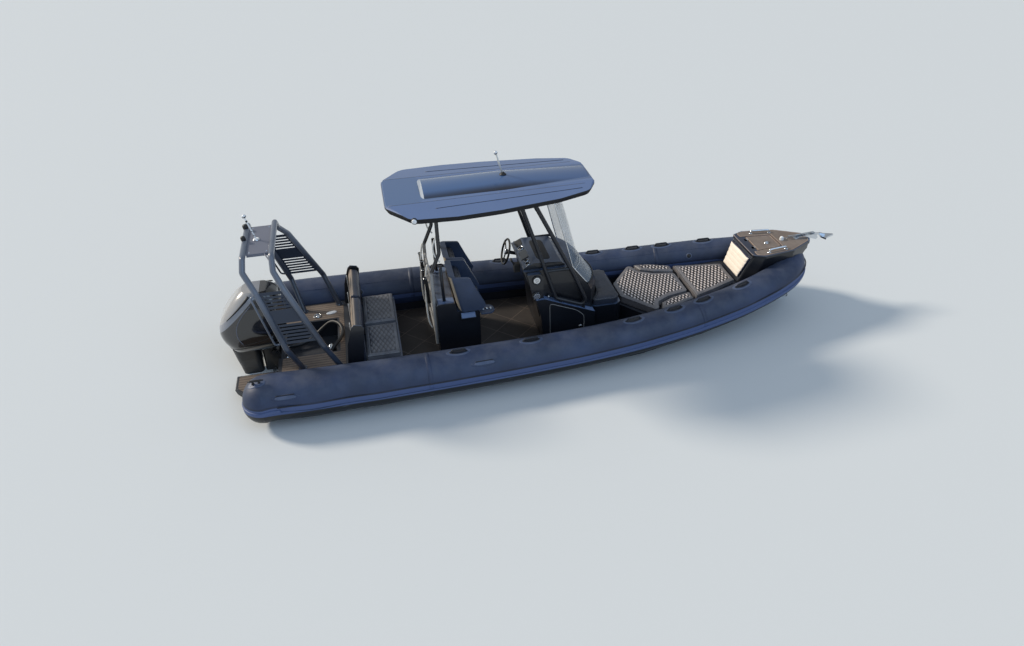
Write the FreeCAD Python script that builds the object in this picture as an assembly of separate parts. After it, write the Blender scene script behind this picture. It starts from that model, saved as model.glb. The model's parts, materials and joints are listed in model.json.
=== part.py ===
"""A 7.7 m rigid inflatable boat with a T-top, a stern arch and one tilting outboard engine.

Millimetres. Origin on the waterline, on the centreline, amidships. +X is the bow, +Y port, +Z up.
"""
import FreeCAD
import Part
import math
import os

V = FreeCAD.Vector
os.makedirs("parts", exist_ok=True)

# Driving dimensions of the boat
length = 7700.0
beam = 2885.0
stern_x = -length / 2
nose_x = length / 2
tube_r_aft = 287.0
tube_r_bow = 209.0
tube_axis_z = 330.0
sheer_rise = 315.0
sheer_start_x = 120.0
plan_start_x = -3180.0
plan_power = 2.25
tube_cap_depth = 250.0
sole_z = 80.0
sole_panel = 8.0
deck_z = 380.0
seat = 0.3

# Hull, transom and motor well
transom_x = -3450.0
transom_thick = 62.0
transom_cut_z = 262.0
well_half = 400.0
well_floor_z = 118.0
well_front_x = -2700.0
cockpit_aft_x = -2490.0
cockpit_fwd_x = 1100.0

# The bow deck climbs between these stations, from deck_z to deck_bow_z
deck_rise_x = 2100.0
deck_top_x = 2800.0
deck_bow_z = 505.0

# Hull sections: station x, keel z, chine half width, chine z
hull_stations = (
    (transom_x, -430, 950, -55),
    (-2000, -430, 960, -50),
    (0, -430, 945, -30),
    (1200, -428, 870, 30),
    (deck_rise_x, -405, 730, 110),
    (deck_top_x, -330, 530, 215),
    (3250, -215, 330, 320),
    (3540, -60, 165, 420),
    (3650, 90, 70, 470),
)


def save(name, shape):
    """Write one named piece and report its volume."""
    assert shape.isValid(), name
    shape.exportStep("parts/" + name + ".step")
    print("%-28s solids %d  litres %.2f" % (name, len(shape.Solids), shape.Volume / 1e6))
    return shape


def joined(shapes):
    """Fuse a list of touching solids into one."""
    first = shapes[0]
    return first.multiFuse(shapes[1:]).removeSplitter() if len(shapes) > 1 else first


def group(shapes):
    """Several solids that do not touch, in one node."""
    return Part.makeCompound(shapes)


def port_to_starboard(shape):
    return shape.mirror(V(0, 0, 0), V(0, 1, 0))


def both_sides(shape):
    return group([shape, port_to_starboard(shape)])


def box(x0, x1, y0, y1, z0, z1):
    return Part.makeBox(x1 - x0, y1 - y0, z1 - z0, V(x0, y0, z0))


def wire(points, radius=0.0):
    """A closed outline. With a radius, each corner is an arc, as large as its two runs allow."""
    spots = [V(*p) for p in points]
    if not radius:
        return Part.makePolygon(spots + spots[:1])
    corners = []
    for k, spot in enumerate(spots):
        before, after = spots[k - 1] - spot, spots[(k + 1) % len(spots)] - spot
        half_turn = (math.pi - before.getAngle(after)) / 2
        reach = min(radius * math.tan(half_turn), 0.45 * before.Length, 0.45 * after.Length)
        before, after = before.normalize(), after.normalize()
        inset = reach / math.tan(half_turn) * (1 / math.cos(half_turn) - 1)
        corners.append((spot + before * reach, spot + (before + after).normalize() * inset, spot + after * reach))
    edges = []
    for corner, following in zip(corners, corners[1:] + corners[:1]):
        edges.append(Part.Arc(*corner).toShape())
        edges.append(Part.LineSegment(corner[2], following[0]).toShape())
    return Part.Wire(edges)


def side_profile(points, y0, y1, radius=0.0):
    """A closed outline of (x, z) points, extruded from y0 to y1."""
    return Part.Face(wire([(x, y0, z) for x, z in points], radius)).extrude(V(0, y1 - y0, 0))


def plan_profile(points, z0, z1, radius=0.0):
    """A closed outline of (x, y) points, extruded from z0 to z1."""
    return Part.Face(wire([(x, y, z0) for x, y in points], radius)).extrude(V(0, 0, z1 - z0))


def mirrored_plan(points):
    """A port half outline from aft to bow, completed on the starboard side."""
    return list(points) + [(x, -y) for x, y in reversed(points) if y > 0]


def rounded(shape, radius, pick):
    """Fillet the edges whose direction and middle point satisfy pick(direction, middle)."""
    chosen = []
    for edge in shape.Edges:
        if edge.Length > radius and isinstance(edge.Curve, Part.Line):
            a, b = edge.Vertexes[0].Point, edge.Vertexes[-1].Point
            if pick((b - a).normalize(), (a + b) * 0.5):
                chosen.append(edge)
    return shape.makeFillet(radius, chosen) if chosen else shape


def rod(points, radius, bend):
    """A round bar through the points, with a bend of the given radius at each inner point."""
    pts = [V(*p) for p in points]
    edges = []
    start = pts[0]
    for k in range(1, len(pts) - 1):
        before = (pts[k - 1] - pts[k]).normalize()
        after = (pts[k + 1] - pts[k]).normalize()
        turn = math.pi - before.getAngle(after)
        reach = bend * math.tan(turn / 2)
        middle_way = (before + after).normalize()
        centre_off = bend / math.cos(turn / 2)
        arc_in = pts[k] + before * reach
        arc_out = pts[k] + after * reach
        arc_mid = pts[k] + middle_way * (centre_off - bend)
        edges.append(Part.LineSegment(start, arc_in).toShape())
        edges.append(Part.Arc(arc_in, arc_mid, arc_out).toShape())
        start = arc_out
    edges.append(Part.LineSegment(start, pts[-1]).toShape())
    ring = Part.Wire([Part.makeCircle(radius, pts[0], pts[1] - pts[0])])
    return Part.Wire(edges).makePipeShell([ring], True, False)


def hose(points, radius):
    """A flexible tube along a route. Each bend is as large as its two runs allow, and the tightest is reported."""
    pts = [V(*p) for p in points]
    edges, radii = [], []
    start = pts[0]
    for before, spot, after in zip(pts, pts[1:], pts[2:]):
        back, ahead = before - spot, after - spot
        half_turn = (math.pi - back.getAngle(ahead)) / 2
        reach = 0.45 * min(back.Length, ahead.Length)
        radii.append(reach / math.tan(half_turn))
        back, ahead = back.normalize(), ahead.normalize()
        arc_mid = spot + (back + ahead).normalize() * (radii[-1] / math.cos(half_turn) - radii[-1])
        edges.append(Part.LineSegment(start, spot + back * reach).toShape())
        edges.append(Part.Arc(spot + back * reach, arc_mid, spot + ahead * reach).toShape())
        start = spot + ahead * reach
    edges.append(Part.LineSegment(start, pts[-1]).toShape())
    path = Part.Wire(edges)
    ring = Part.Wire([Part.makeCircle(radius, pts[0], pts[1] - pts[0])])
    tube = path.makePipeShell([ring], True, False)
    print("hose length %.0f, bends %s" % (path.Length, [round(r) for r in radii]))
    print("hose volume ratio %.4f" % (tube.Volume / (path.Length * math.pi * radius ** 2)))
    return tube


def ball(x, y, z, radius):
    return Part.makeSphere(radius, V(x, y, z))


def cylinder(start, end, radius):
    a, b = V(*start), V(*end)
    return Part.makeCylinder(radius, (b - a).Length, a, b - a)


# The collar: the centreline of the tube as a function of the angle round the bow
nose_axis_x = nose_x - tube_r_bow
half_track = beam / 2 - tube_r_aft


def tube_axis(angle):
    """Port centreline point of the tube: 0 degrees at the straight run, 90 at the nose."""
    s, c = math.sin(math.radians(angle)), math.cos(math.radians(angle))
    x = plan_start_x + (nose_axis_x - plan_start_x) * s ** (2 / plan_power)
    y = half_track * max(c, 0.0) ** (2 / plan_power)
    return V(x, y, tube_height(x))


def tube_height(x):
    climb = max(0.0, x - sheer_start_x) / (nose_axis_x - sheer_start_x)
    return tube_axis_z + sheer_rise * climb ** 2


def tube_radius(x):
    share = max(0.0, x - plan_start_x) / (nose_axis_x - plan_start_x)
    return tube_r_aft + (tube_r_bow - tube_r_aft) * share


def tube_y(x):
    """Half track of the tube's centreline at station x."""
    if x <= plan_start_x:
        return half_track
    share = min(1.0, (x - plan_start_x) / (nose_axis_x - plan_start_x))
    return half_track * (1 - share ** plan_power) ** (1 / plan_power)


def direction_at(angle):
    """Unit tangent of the tube's centreline at an angle round the bow."""
    if angle <= 0.0:
        return V(1, 0, 0)
    if angle >= 90.0:
        return V(0, -1, 0)
    step = 0.05
    return (tube_axis(min(90.0, angle + step)) - tube_axis(max(0.0, angle - step))).normalize()


def even_angles(count):
    """Angles that cut the curved run of the centreline into equal lengths."""
    fine = [90.0 * k / 3000 for k in range(3001)]
    points = [tube_axis(a) for a in fine]
    lengths = [0.0]
    for p, q in zip(points, points[1:]):
        lengths.append(lengths[-1] + (q - p).Length)
    out, k = [], 0
    for i in range(count + 1):
        goal = lengths[-1] * i / count
        while k < len(lengths) - 1 and lengths[k] < goal:
            k += 1
        out.append(fine[k])
    return out


collar_spans = 18
collar_angles = even_angles(collar_spans)


def tube_stations():
    """Placements along the whole collar, from the port stern round the nose to starboard."""
    port = [(V(stern_x + tube_cap_depth, half_track, tube_axis_z), V(1, 0, 0))]
    port += [(tube_axis(angle), direction_at(angle)) for angle in collar_angles]
    starboard = [(V(p.x, -p.y, p.z), V(-t.x, t.y, -t.z)) for p, t in reversed(port[:-1])]
    out = []
    for point, direction in port + starboard:
        outward = V(0, 0, 1).cross(direction).normalize()
        place = FreeCAD.Placement(point, FreeCAD.Rotation(outward, V(0, 0, 1), direction, "ZXY"))
        out.append((place, tube_radius(point.x)))
    return out


def swept_along_collar(outline):
    """Loft outline(radius), drawn with x outboard and y up, through every station."""
    wires = []
    for place, radius in tube_stations():
        section = outline(radius)
        section.Placement = place
        wires.append(section)
    return Part.makeLoft(wires, True, False)


def tube_circle(radius):
    return Part.Wire([Part.Circle(V(0, 0, 0), V(0, 0, 1), radius).toShape()])


def stern_cap():
    """The elliptical end of the port tube, turned about the tube's own axis."""
    centre = V(stern_x + tube_cap_depth, half_track, tube_axis_z)
    across = centre + V(0, 0, tube_r_aft)
    tip = V(stern_x, half_track, tube_axis_z)
    curve = Part.Ellipse(across, tip, centre)
    quarter = Part.ArcOfEllipse(curve, 0, math.pi / 2).toShape()
    outline = Part.Wire([quarter, Part.LineSegment(tip, centre).toShape(), Part.LineSegment(centre, across).toShape()])
    return Part.Face(outline).revolve(centre, V(1, 0, 0), 360)


collar = swept_along_collar(tube_circle)

# The collar is cut where its chambers meet: across the sides and across the shoulders
chamber_angle_side = 17.0
chamber_angle_shoulder = 52.0
far = 9000.0


def ahead_of(angle, side):
    """A half space that starts at the tube's cross section at this angle and runs forward."""
    point = tube_axis(angle)
    direction = (tube_axis(angle + 0.5) - tube_axis(angle - 0.5)).normalize()
    point, direction = V(point.x, side * point.y, point.z), V(direction.x, side * direction.y, 0).normalize()
    outward = V(0, 0, 1).cross(direction)
    block = Part.makeBox(far, far, far, V(-far / 2, -far / 2, 0))
    block.Placement = FreeCAD.Placement(point, FreeCAD.Rotation(outward, V(0, 0, 1), direction, "ZXY"))
    return block


aft_chambers, side_chambers, bow_halves = [], [], []
for side in (1, -1):
    half = box(-far, far, 0, far, -far, far) if side > 0 else box(-far, far, -far, 0, -far, far)
    own_side = collar.common(half)
    aft = own_side.cut(ahead_of(chamber_angle_side, side))
    cap = stern_cap() if side > 0 else port_to_starboard(stern_cap())
    aft_chambers.append(joined([aft, cap]))
    forward = own_side.common(ahead_of(chamber_angle_side, side)).cut(ahead_of(chamber_angle_shoulder, side))
    side_chambers.append(forward)
    bow_halves.append(own_side.common(ahead_of(chamber_angle_shoulder, side)))
save("collar_aft", group(aft_chambers))
save("collar_side", group(side_chambers))
save("collar_bow", joined(bow_halves))

# Rubbing strake: a moulded rubber band low on the outside of the tube
strake_top_deg = -8.0
strake_bottom_deg = -34.0
strake_thick = 16.0
strake_sink = 8.0


def strake_band(radius):
    """A band hugging the tube between two angles below the horizontal."""
    inner, outer = radius - strake_sink, radius + strake_thick
    top, bottom = math.radians(strake_top_deg), math.radians(strake_bottom_deg)
    middle = (top + bottom) / 2

    def at(r, angle):
        return V(r * math.cos(angle), r * math.sin(angle), 0)
    return Part.Wire([
        Part.Arc(at(inner, bottom), at(inner, middle), at(inner, top)).toShape(),
        Part.LineSegment(at(inner, top), at(outer, top * 1.35)).toShape(),
        Part.Arc(at(outer, top * 1.35), at(outer + 6, middle), at(outer, bottom * 0.93)).toShape(),
        Part.LineSegment(at(outer, bottom * 0.93), at(inner, bottom)).toShape()])


save("rubbing_strake", swept_along_collar(strake_band).cut(collar))

# Hull: a deep V loft between the stations, cut to the tube and hollowed for the cockpit
chine_flat = 58.0


def hull_section(x, keel_z, chine_y, chine_z):
    """Closed outline of one station: keel, chine, the line inside the tube, and the deck."""
    radius, height, y = tube_radius(x), tube_height(x), tube_y(x)
    side_y = max(y - 0.45 * radius, chine_y + chine_flat)
    half = [(0, keel_z), (chine_y, chine_z), (chine_y + chine_flat, chine_z - 4),
            (side_y, height - 0.35 * radius), (side_y - 0.2 * radius, deck_height(x))]
    ring = half + [(-y, z) for y, z in reversed(half) if y > 0]
    return wire([(x, y, z) for y, z in ring])



def deck_height(x):
    """Deck level: flat aft, climbing under the bow locker."""
    share = min(1.0, max(0.0, (x - deck_rise_x) / (deck_top_x - deck_rise_x)))
    return deck_z + (deck_bow_z - deck_z) * share


hull = Part.makeLoft([hull_section(*row) for row in hull_stations], True, True)

cockpit_half_share = 0.86
cockpit_plan = [(cockpit_aft_x, tube_y(cockpit_aft_x) - cockpit_half_share * tube_radius(cockpit_aft_x))]
for x in (-1700, -900, -100, 700):
    cockpit_plan.append((x, tube_y(x) - cockpit_half_share * tube_radius(x)))
lounge_corner_x = 1470.0
cockpit_plan.append((lounge_corner_x, tube_y(lounge_corner_x) - cockpit_half_share * tube_radius(lounge_corner_x)))
cockpit_plan.append((cockpit_fwd_x, 190))
open_up = 900.0
cockpit = plan_profile(mirrored_plan(cockpit_plan), sole_z, open_up)
well = box(transom_x + transom_thick, well_front_x, -well_half, well_half, well_floor_z, open_up)
notch = box(transom_x - 50, transom_x + transom_thick + 1, -well_half, well_half, transom_cut_z, open_up)
hull = hull.cut(cockpit).cut(well).cut(notch).cut(collar)
hull = max(hull.Solids, key=lambda s: s.Volume)
save("hull", hull)

# Cockpit sole: a foam deck panel a little inside the cockpit's edge
sole_margin = 25.0
floor_z = sole_z + sole_panel
sole_plan = [(cockpit_aft_x + sole_margin, cockpit_plan[0][1] - sole_margin)]
for x, y in cockpit_plan[1:-2]:
    sole_plan.append((x, y - sole_margin))
sole_plan.append((cockpit_plan[-2][0] - 2 * sole_margin, cockpit_plan[-2][1] - 2 * sole_margin))
sole_plan.append((cockpit_fwd_x - sole_margin, cockpit_plan[-1][1] - sole_margin))
save("sole_panel", plan_profile(mirrored_plan(sole_plan), sole_z, floor_z))

# Swim platforms: two steps on the transom, either side of the engine
platform_in = 425.0
platform_out = 845.0
platform_top = 212.0
platform_aft_x = transom_x - 555
platform_side = [(transom_x - seat, platform_top), (platform_aft_x + 10, platform_top), (platform_aft_x, 196),
                 (platform_aft_x + 25, 150), (transom_x - 120, 60), (transom_x - seat, -40)]
platform = side_profile(platform_side, platform_in, platform_out, 22)
corner = wire([(platform_aft_x - 5, platform_out - 150, -100), (platform_aft_x - 5, platform_out + 5, -100),
               (platform_aft_x + 150, platform_out + 5, -100)])
platform = platform.cut(Part.Face(corner).extrude(V(0, 0, 500))).cut(collar)
save("swim_platforms", both_sides(platform))

# Stern arch: two leaning hoops of round tube with slotted side plates and a plate on top
arch_r = 36.0
arch_bend = 75.0
arch_top_z = 1872.0
# Hoop points from the port foot to the top: x, y, z. The legs lean out over the tube
hoop_aft_half = [(-3142, 690, deck_z + seat), (-3255, 905, 812), (-3492, 762, 1560), (-3612, 590, 1745),
                 (-3597, 474, arch_top_z)]
hoop_fwd_half = [(-2662, 785, deck_z + seat), (-2822, 918, 812), (-3165, 762, 1560), (-3262, 618, 1733),
                 (-3264, 474, arch_top_z)]


def hoop(half):
    """A hoop from the port foot over the top to the starboard foot."""
    return rod(half + [(x, -y, z) for x, y, z in reversed(half)], arch_r, arch_bend)


hoop_aft = hoop(hoop_aft_half)
hoop_fwd = hoop(hoop_fwd_half)
foot_r = 55.0
foot_z = 12.0


def with_feet(frame, half):
    """Round foot plates under both ends of a hoop."""
    x, y, z = half[0]
    feet = [Part.makeCylinder(foot_r, foot_z, V(x, s * y, z)) for s in (1, -1)]
    whole = joined([frame] + feet).cut(hull)
    return max(whole.Solids, key=lambda solid: solid.Volume)


save("arch_hoop_aft", with_feet(hoop_aft, hoop_aft_half))
save("arch_hoop_fwd", with_feet(hoop_fwd, hoop_fwd_half))

# Side plate, drawn flat with u forward and v down the legs, then laid between the legs
plate_thick = 6.0
plate_top_aft = V(-3486, 766, 1548)
plate_top_fwd = V(-3163, 766, 1548)
plate_low_aft = V(-3283, 896, 890)
plate_low_fwd = V(-2858, 896, 890)
plate_down = ((plate_low_aft + plate_low_fwd) - (plate_top_aft + plate_top_fwd)).normalize()
plate_along = ((plate_top_fwd + plate_low_fwd) - (plate_top_aft + plate_low_aft)).normalize()
plate_normal = plate_along.cross(plate_down).normalize()
plate_down = plate_normal.cross(plate_along).normalize()
plate_centre = (plate_top_aft + plate_top_fwd + plate_low_aft + plate_low_fwd) * 0.25


def plate_uv(point):
    d = point - plate_centre
    return (d.dot(plate_along), d.dot(plate_down))


corners = [plate_uv(p) for p in (plate_top_aft, plate_top_fwd, plate_low_fwd, plate_low_aft)]
plate = Part.Face(wire([(u, v, -plate_thick / 2) for u, v in corners])).extrude(V(0, 0, plate_thick))
slot_half_height = 9.0
slot_margin = 62.0
slot_pitch = 44.0
slot_groups = ((-290, 5), (75, 6))


def plate_edge(v, aft):
    """u of the plate's aft or forward edge at height v."""
    top, low = (corners[0], corners[3]) if aft else (corners[1], corners[2])
    return top[0] + (low[0] - top[0]) * (v - top[1]) / (low[1] - top[1])


for first_v, count in slot_groups:
    for k in range(count):
        v = first_v + slot_pitch * k
        u0, u1 = plate_edge(v, True) + slot_margin, plate_edge(v, False) - slot_margin
        bar = Part.makeBox(u1 - u0, 2 * slot_half_height, 40, V(u0, v - slot_half_height, -20))
        ends = [Part.makeCylinder(slot_half_height, 40, V(u, v, -20)) for u in (u0, u1)]
        plate = plate.cut(joined([bar] + ends))
plate.Placement = FreeCAD.Placement(plate_centre, FreeCAD.Rotation(plate_along, plate_down, plate_normal, "ZXY"))
plate = plate.cut(hoop_aft).cut(hoop_fwd)
save("arch_side_plates", both_sides(plate))

top_plate_half = 385.0
top_plate_z = 1866.0
plate_aft_x, plate_fwd_x = hoop_aft_half[-1][0], hoop_fwd_half[-1][0]
lip_depth = 30.0
lip_thick = 6.0
top_plate = box(plate_aft_x, plate_fwd_x, -top_plate_half, top_plate_half, top_plate_z, top_plate_z + 8)
lip = box(plate_aft_x + arch_r + 4, plate_fwd_x - arch_r - 4, top_plate_half - lip_thick, top_plate_half,
          top_plate_z - lip_depth, top_plate_z)
strut_r = 8.0
strut = cylinder((plate_fwd_x - 90, top_plate_half - 12, top_plate_z), (plate_fwd_x, 560, 1800), strut_r)
top_plate = joined([top_plate, lip, port_to_starboard(lip), strut, port_to_starboard(strut)])
top_plate = top_plate.cut(hoop_aft).cut(hoop_fwd)
save("arch_top_plate", max(top_plate.Solids, key=lambda solid: solid.Volume))

rail_r = 12.0
grab_rail = rod([(-3480, 768, 1520), (-3556, 790, 1512), (-3375, 912, 905), (-3290, 890, 900)], rail_r, 30)
save("arch_grab_rails", both_sides(grab_rail.cut(hoop_aft)))

mast_foot = (-3462, 0, top_plate_z + 8 + seat)
mast_tip = (-3545, 0, 2185)
mast_ball_r = 26.0
light_mast = joined([Part.makeCylinder(32, 18, V(*mast_foot)), cylinder((-3462, 0, 1880), mast_tip, 9),
                     ball(-3545, 0, 2195, mast_ball_r)])
save("stern_light_mast", light_mast)

# Rigging hose: out of the transom, along the well, up over the deck's edge and down into the well floor
hose_r = 24.0
gland_r = 34.0
gland_len = 22.0
hose_grip = 14.0
hose_out = (transom_x + transom_thick + seat, 160, 190)
hose_in = (-2822, -350, well_floor_z + seat)
hose_route = [(hose_out[0] + gland_len - hose_grip, 160, 190), (-3210, 180, 182), (-3050, 262, 212), (-2905, 318, 318),
              (-2772, 292, 425), (-2655, 165, 440), (-2622, -20, 414), (-2662, -205, 432), (-2766, -312, 388),
              (-2820, -346, 262), (hose_in[0], hose_in[1], hose_in[2] + gland_len - hose_grip)]
rigging_hose = hose(hose_route, hose_r)
save("rigging_hose", rigging_hose)
glands = [Part.makeCylinder(gland_r, gland_len, V(*hose_out), V(1, 0, 0)),
          Part.makeCylinder(gland_r, gland_len, V(*hose_in), V(0, 0, 1))]
save("hose_glands", group([gland.cut(rigging_hose) for gland in glands]))

# Aft bench: a locker across the cockpit, a lid cushion hinged at its front edge, and a backrest
bench_half = 790.0
bench_front_x = -1932.0
bench_top_z = 372.0
bench_wall = 22.0
bench_aft_x = cockpit_aft_x + seat
bench = box(bench_aft_x, bench_front_x, -bench_half, bench_half, floor_z, bench_top_z)
bench = bench.cut(box(bench_aft_x + 130, bench_front_x - bench_wall, -bench_half + bench_wall,
                      bench_half - bench_wall, floor_z + bench_wall, bench_top_z + 1))
save("bench_locker", bench)
cushion_thick = 104.0
lid_z = bench_top_z + seat
cushion_aft_x = -2360.0
cushion_fwd_x = -1900.0
bench_lid = box(cushion_aft_x, cushion_fwd_x, -bench_half + 5, bench_half - 5, lid_z, lid_z + 14)
save("bench_lid", bench_lid)
cushion_half_gap = 4.0
bench_cushion = box(cushion_aft_x, cushion_fwd_x, cushion_half_gap, bench_half - 5, lid_z + 14 + seat, lid_z + cushion_thick)
bench_cushion = rounded(bench_cushion, 24, lambda d, m: m.z > lid_z + 60)
save("bench_cushions", both_sides(bench_cushion))

# Bench hinges: three barrels on the front of the locker, just under the lid
hinge_gap = 0.4
hinge_leaf = 3.0
bench_hinge_x = cushion_fwd_x - 14
bench_hinge_r = 7.0
bench_hinge_z = lid_z - hinge_gap - bench_hinge_r
bench_hinges = []
for y in (-600, 0, 600):
    barrel = cylinder((bench_hinge_x, y - 45, bench_hinge_z), (bench_hinge_x, y + 45, bench_hinge_z), bench_hinge_r)
    leaf = box(bench_front_x + seat, bench_hinge_x, y - 40, y + 40, bench_hinge_z - hinge_leaf, bench_hinge_z)
    flange = box(bench_front_x + seat, bench_front_x + seat + hinge_leaf, y - 40, y + 40, bench_hinge_z - 45,
                 bench_hinge_z)
    bench_hinges.append(joined([barrel, leaf, flange]))
save("bench_hinges", group(bench_hinges))
backrest_side = [(bench_aft_x, bench_top_z + seat), (-2386, bench_top_z + seat), (-2335, 900), (-2350, 930),
                 (-2436, 948), (-2466, 935)]
backrest = side_profile(backrest_side, cushion_half_gap, bench_half - 10, 30)
save("bench_backrests", both_sides(backrest))
end_panel_thick = 16.0
end_panel_y = bench_half - 10 + seat
end_panel_side = [(cockpit_aft_x - 95, deck_z + seat), (cockpit_aft_x - 60, 700),
                  (-2478, 925), (-2440, 962), (-2352, 944), (-2322, 900), (-2386, 420), (-2386, deck_z + seat)]
end_panel = side_profile(end_panel_side, end_panel_y, end_panel_y + end_panel_thick, 18)
save("bench_end_panels", both_sides(end_panel.cut(collar)))

# Leaning post with two bucket seats, and the frame behind it that carries the roof
post_half = 500.0
post_top_z = 785.0
post_shelf_z = 915.0
post_side = [(-1400, floor_z), (-880, floor_z), (-862, 250), (-852, 735), (-880, post_top_z), (-1148, post_top_z),
             (-1158, post_shelf_z), (-1385, post_shelf_z), (-1400, 880)]
# A sloping step on each side of the post
step_top_z, step_low_z = 755.0, 660.0
step_face = [(post_half - 5, step_top_z), (post_half + 62, step_top_z - 48), (post_half + 62, step_top_z - 60),
             (post_half - 5, step_low_z)]
step = Part.Face(wire([(-1100, y, z) for y, z in step_face])).extrude(V(188, 0, 0))
post = joined([side_profile(post_side, -post_half, post_half, 28), step, port_to_starboard(step)])
save("leaning_post", post)
seat_gap = 12.0
seat_out = 535.0
shell_low_z = post_top_z + seat
shell_high_z = 1320.0
shell_low = [(-1120, seat_gap), (-700, seat_gap), (-700, seat_out), (-1120, seat_out)]
shell_high = [(-1222, seat_gap), (-700, seat_gap), (-700, seat_out), (-1222, seat_out)]
shell = Part.makeLoft([wire([(x, y, shell_low_z) for x, y in shell_low], 75),
                       wire([(x, y, shell_high_z) for x, y in shell_high], 75)], True, True)
wing_side = [(-1082, shell_low_z), (-812, shell_low_z), (-772, 862), (-878, 1085), (-955, 1262), (-1200, 1292),
             (-1340, 1292), (-1340, 1010), (-1128, 845)]
shell = shell.common(side_profile(wing_side, 0, seat_out + 5, 48))
wing_thick = 32.0
pan_thick = 27.0
pan_top_z = shell_low_z + pan_thick
lean_low = (-1082, pan_top_z)
lean_high = (-1150, 1400)
shell = shell.cut(side_profile([lean_low, (-600, pan_top_z), (-600, 1400), lean_high], seat_gap + wing_thick,
                               seat_out - wing_thick))
save("seat_shells", both_sides(shell))
pad_y0, pad_y1 = seat_gap + wing_thick + 2, seat_out - wing_thick - 2
seat_pad = side_profile([(-1078, pan_top_z + seat), (-812, pan_top_z + seat), (-790, 848), (-824, 892), (-1078, 887)],
                        pad_y0, pad_y1)
back_pad = side_profile([(-1098, 894), (-1018, 894), (-1052, 1190), (-1078, 1236), (-1138, 1236)], pad_y0, pad_y1)
seat_pad, back_pad = seat_pad.cut(shell), back_pad.cut(shell)
save("seat_pads", both_sides(seat_pad))
save("seat_backs", both_sides(back_pad))

# Roof of the T-top: a shell with a leaning rim, two long creases and a raised barrel down the middle
roof_z = 2180.0
roof_rim = 88.0
roof_crown = 24.0
roof_top = roof_z + roof_rim + roof_crown
roof_corner_r = 170.0
roof_half_plan = [(-1885, 400), (-1610, 788), (-1070, 822), (-550, 786), (180, 674), (580, 540), (705, 300)]
# Rim levels: height above roof_z, scale of the plan
roof_levels = ((0, 0.955), (12, 0.975), (roof_rim - 22, 1.0), (roof_rim, 1.0), (roof_rim + 10, 0.992))
roof_middle_x = -600.0


def roof_outline(height, scale):
    spots = [(roof_middle_x + (x - roof_middle_x) * scale, y * scale) for x, y in roof_half_plan]
    return wire([(x, y, roof_z + height) for x, y in mirrored_plan(spots)], roof_corner_r * scale)


roof = Part.makeLoft([roof_outline(*level) for level in roof_levels], True, True)
crown = Part.makeLoft([roof_outline(roof_rim + 10, 0.992), roof_outline(roof_rim + roof_crown, 0.985)], True, True)
roof = joined([roof, crown])

# Each side of the top slopes down from a crease: x, y of the crease, height lost at the roof's edge
crease_rows = ((-1950.0, 425.0, 42.0), (800.0, 285.0, 52.0))
slope_edge_y = 860.0
slopes = []
for side in (1, -1):
    sections = []
    for x, y, drop in crease_rows:
        sections.append(wire([(x, side * y, roof_top), (x, side * slope_edge_y, roof_top - drop),
                              (x, side * slope_edge_y, roof_top + 60), (x, side * y, roof_top + 60)]))
    slopes.append(Part.makeLoft(sections, True, True))
roof = roof.cut(slopes[0]).cut(slopes[1])
# The underside rises towards the front, and is open inside the rim
roof_rise = [(-700, roof_z - 20), (800, roof_z - 20), (800, roof_z + 34), (-700, roof_z)]
roof = roof.cut(side_profile(roof_rise, -900, 900))
recess_inset = 0.90
roof_recess = 26.0
recess_spots = [(roof_middle_x + (x - roof_middle_x) * recess_inset, y * recess_inset) for x, y in roof_half_plan]
roof = roof.cut(plan_profile(mirrored_plan(recess_spots), roof_z - 1, roof_z + roof_recess, roof_corner_r))


def half_round(x, half_width, base, height):
    """A shallow arched section across the roof."""
    a, m, b = V(x, -half_width, base), V(x, 0, base + height), V(x, half_width, base)
    return Part.Wire([Part.Arc(a, m, b).toShape(), Part.LineSegment(b, a).toShape()])


# Barrel sections: x, half width, height
barrel_rows = ((-1440, 345, 26), (-1405, 350, 78), (-400, 345, 86), (660, 240, 36))
barrel_base = roof_top - 14
barrel = Part.makeLoft([half_round(x, half, barrel_base, height) for x, half, height in barrel_rows], True, True)
roof_solid = joined([roof, barrel])
save("roof", roof_solid)

# Tubular frames under the roof
frame_r = 25.0
frame_half = 500.0
frame_top = roof_z + roof_recess
over = 20.0
ttop_side = rod([(-293, frame_half, frame_top + over), (150, frame_half, 792), (596, frame_half, 604),
                 (391, frame_half, 1102), (-145, frame_half, frame_top + over)], frame_r, 60)
brace = cylinder((25, frame_half, 1200), (343, frame_half, 1200), 19)
cross = [cylinder((x, -frame_half, z), (x, frame_half, z), 20) for x, z in ((-230, 2000), (-80, 2070))]
ttop_frame = joined([ttop_side, port_to_starboard(ttop_side), brace, port_to_starboard(brace)] + cross)

# Frame behind the leaning post: two posts up to the roof, with rungs that carry rods
rear_r = 24.0
rear_half = 420.0
rear_aft_x = -1400 - rear_r - seat
rear_fwd_x = -1300.0
rear_frame = []
for side in (1, -1):
    y = side * rear_half
    rear_frame.append(rod([(rear_aft_x, y, 300), (rear_aft_x, y, 1330), (rear_fwd_x, y, 1600),
                           (rear_fwd_x, y, frame_top + over)], rear_r, 120))
rung_zs = (360, 640, 920, 1200)
rear_frame += [cylinder((rear_aft_x, -rear_half, z), (rear_aft_x, rear_half, z), 16) for z in rung_zs]
rear_frame.append(cylinder((rear_fwd_x, -rear_half, 2090), (rear_fwd_x, rear_half, 2090), 18))
rear_frame = joined(rear_frame).cut(roof_solid)
save("rear_frame", max(rear_frame.Solids, key=lambda solid: solid.Volume))

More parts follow.
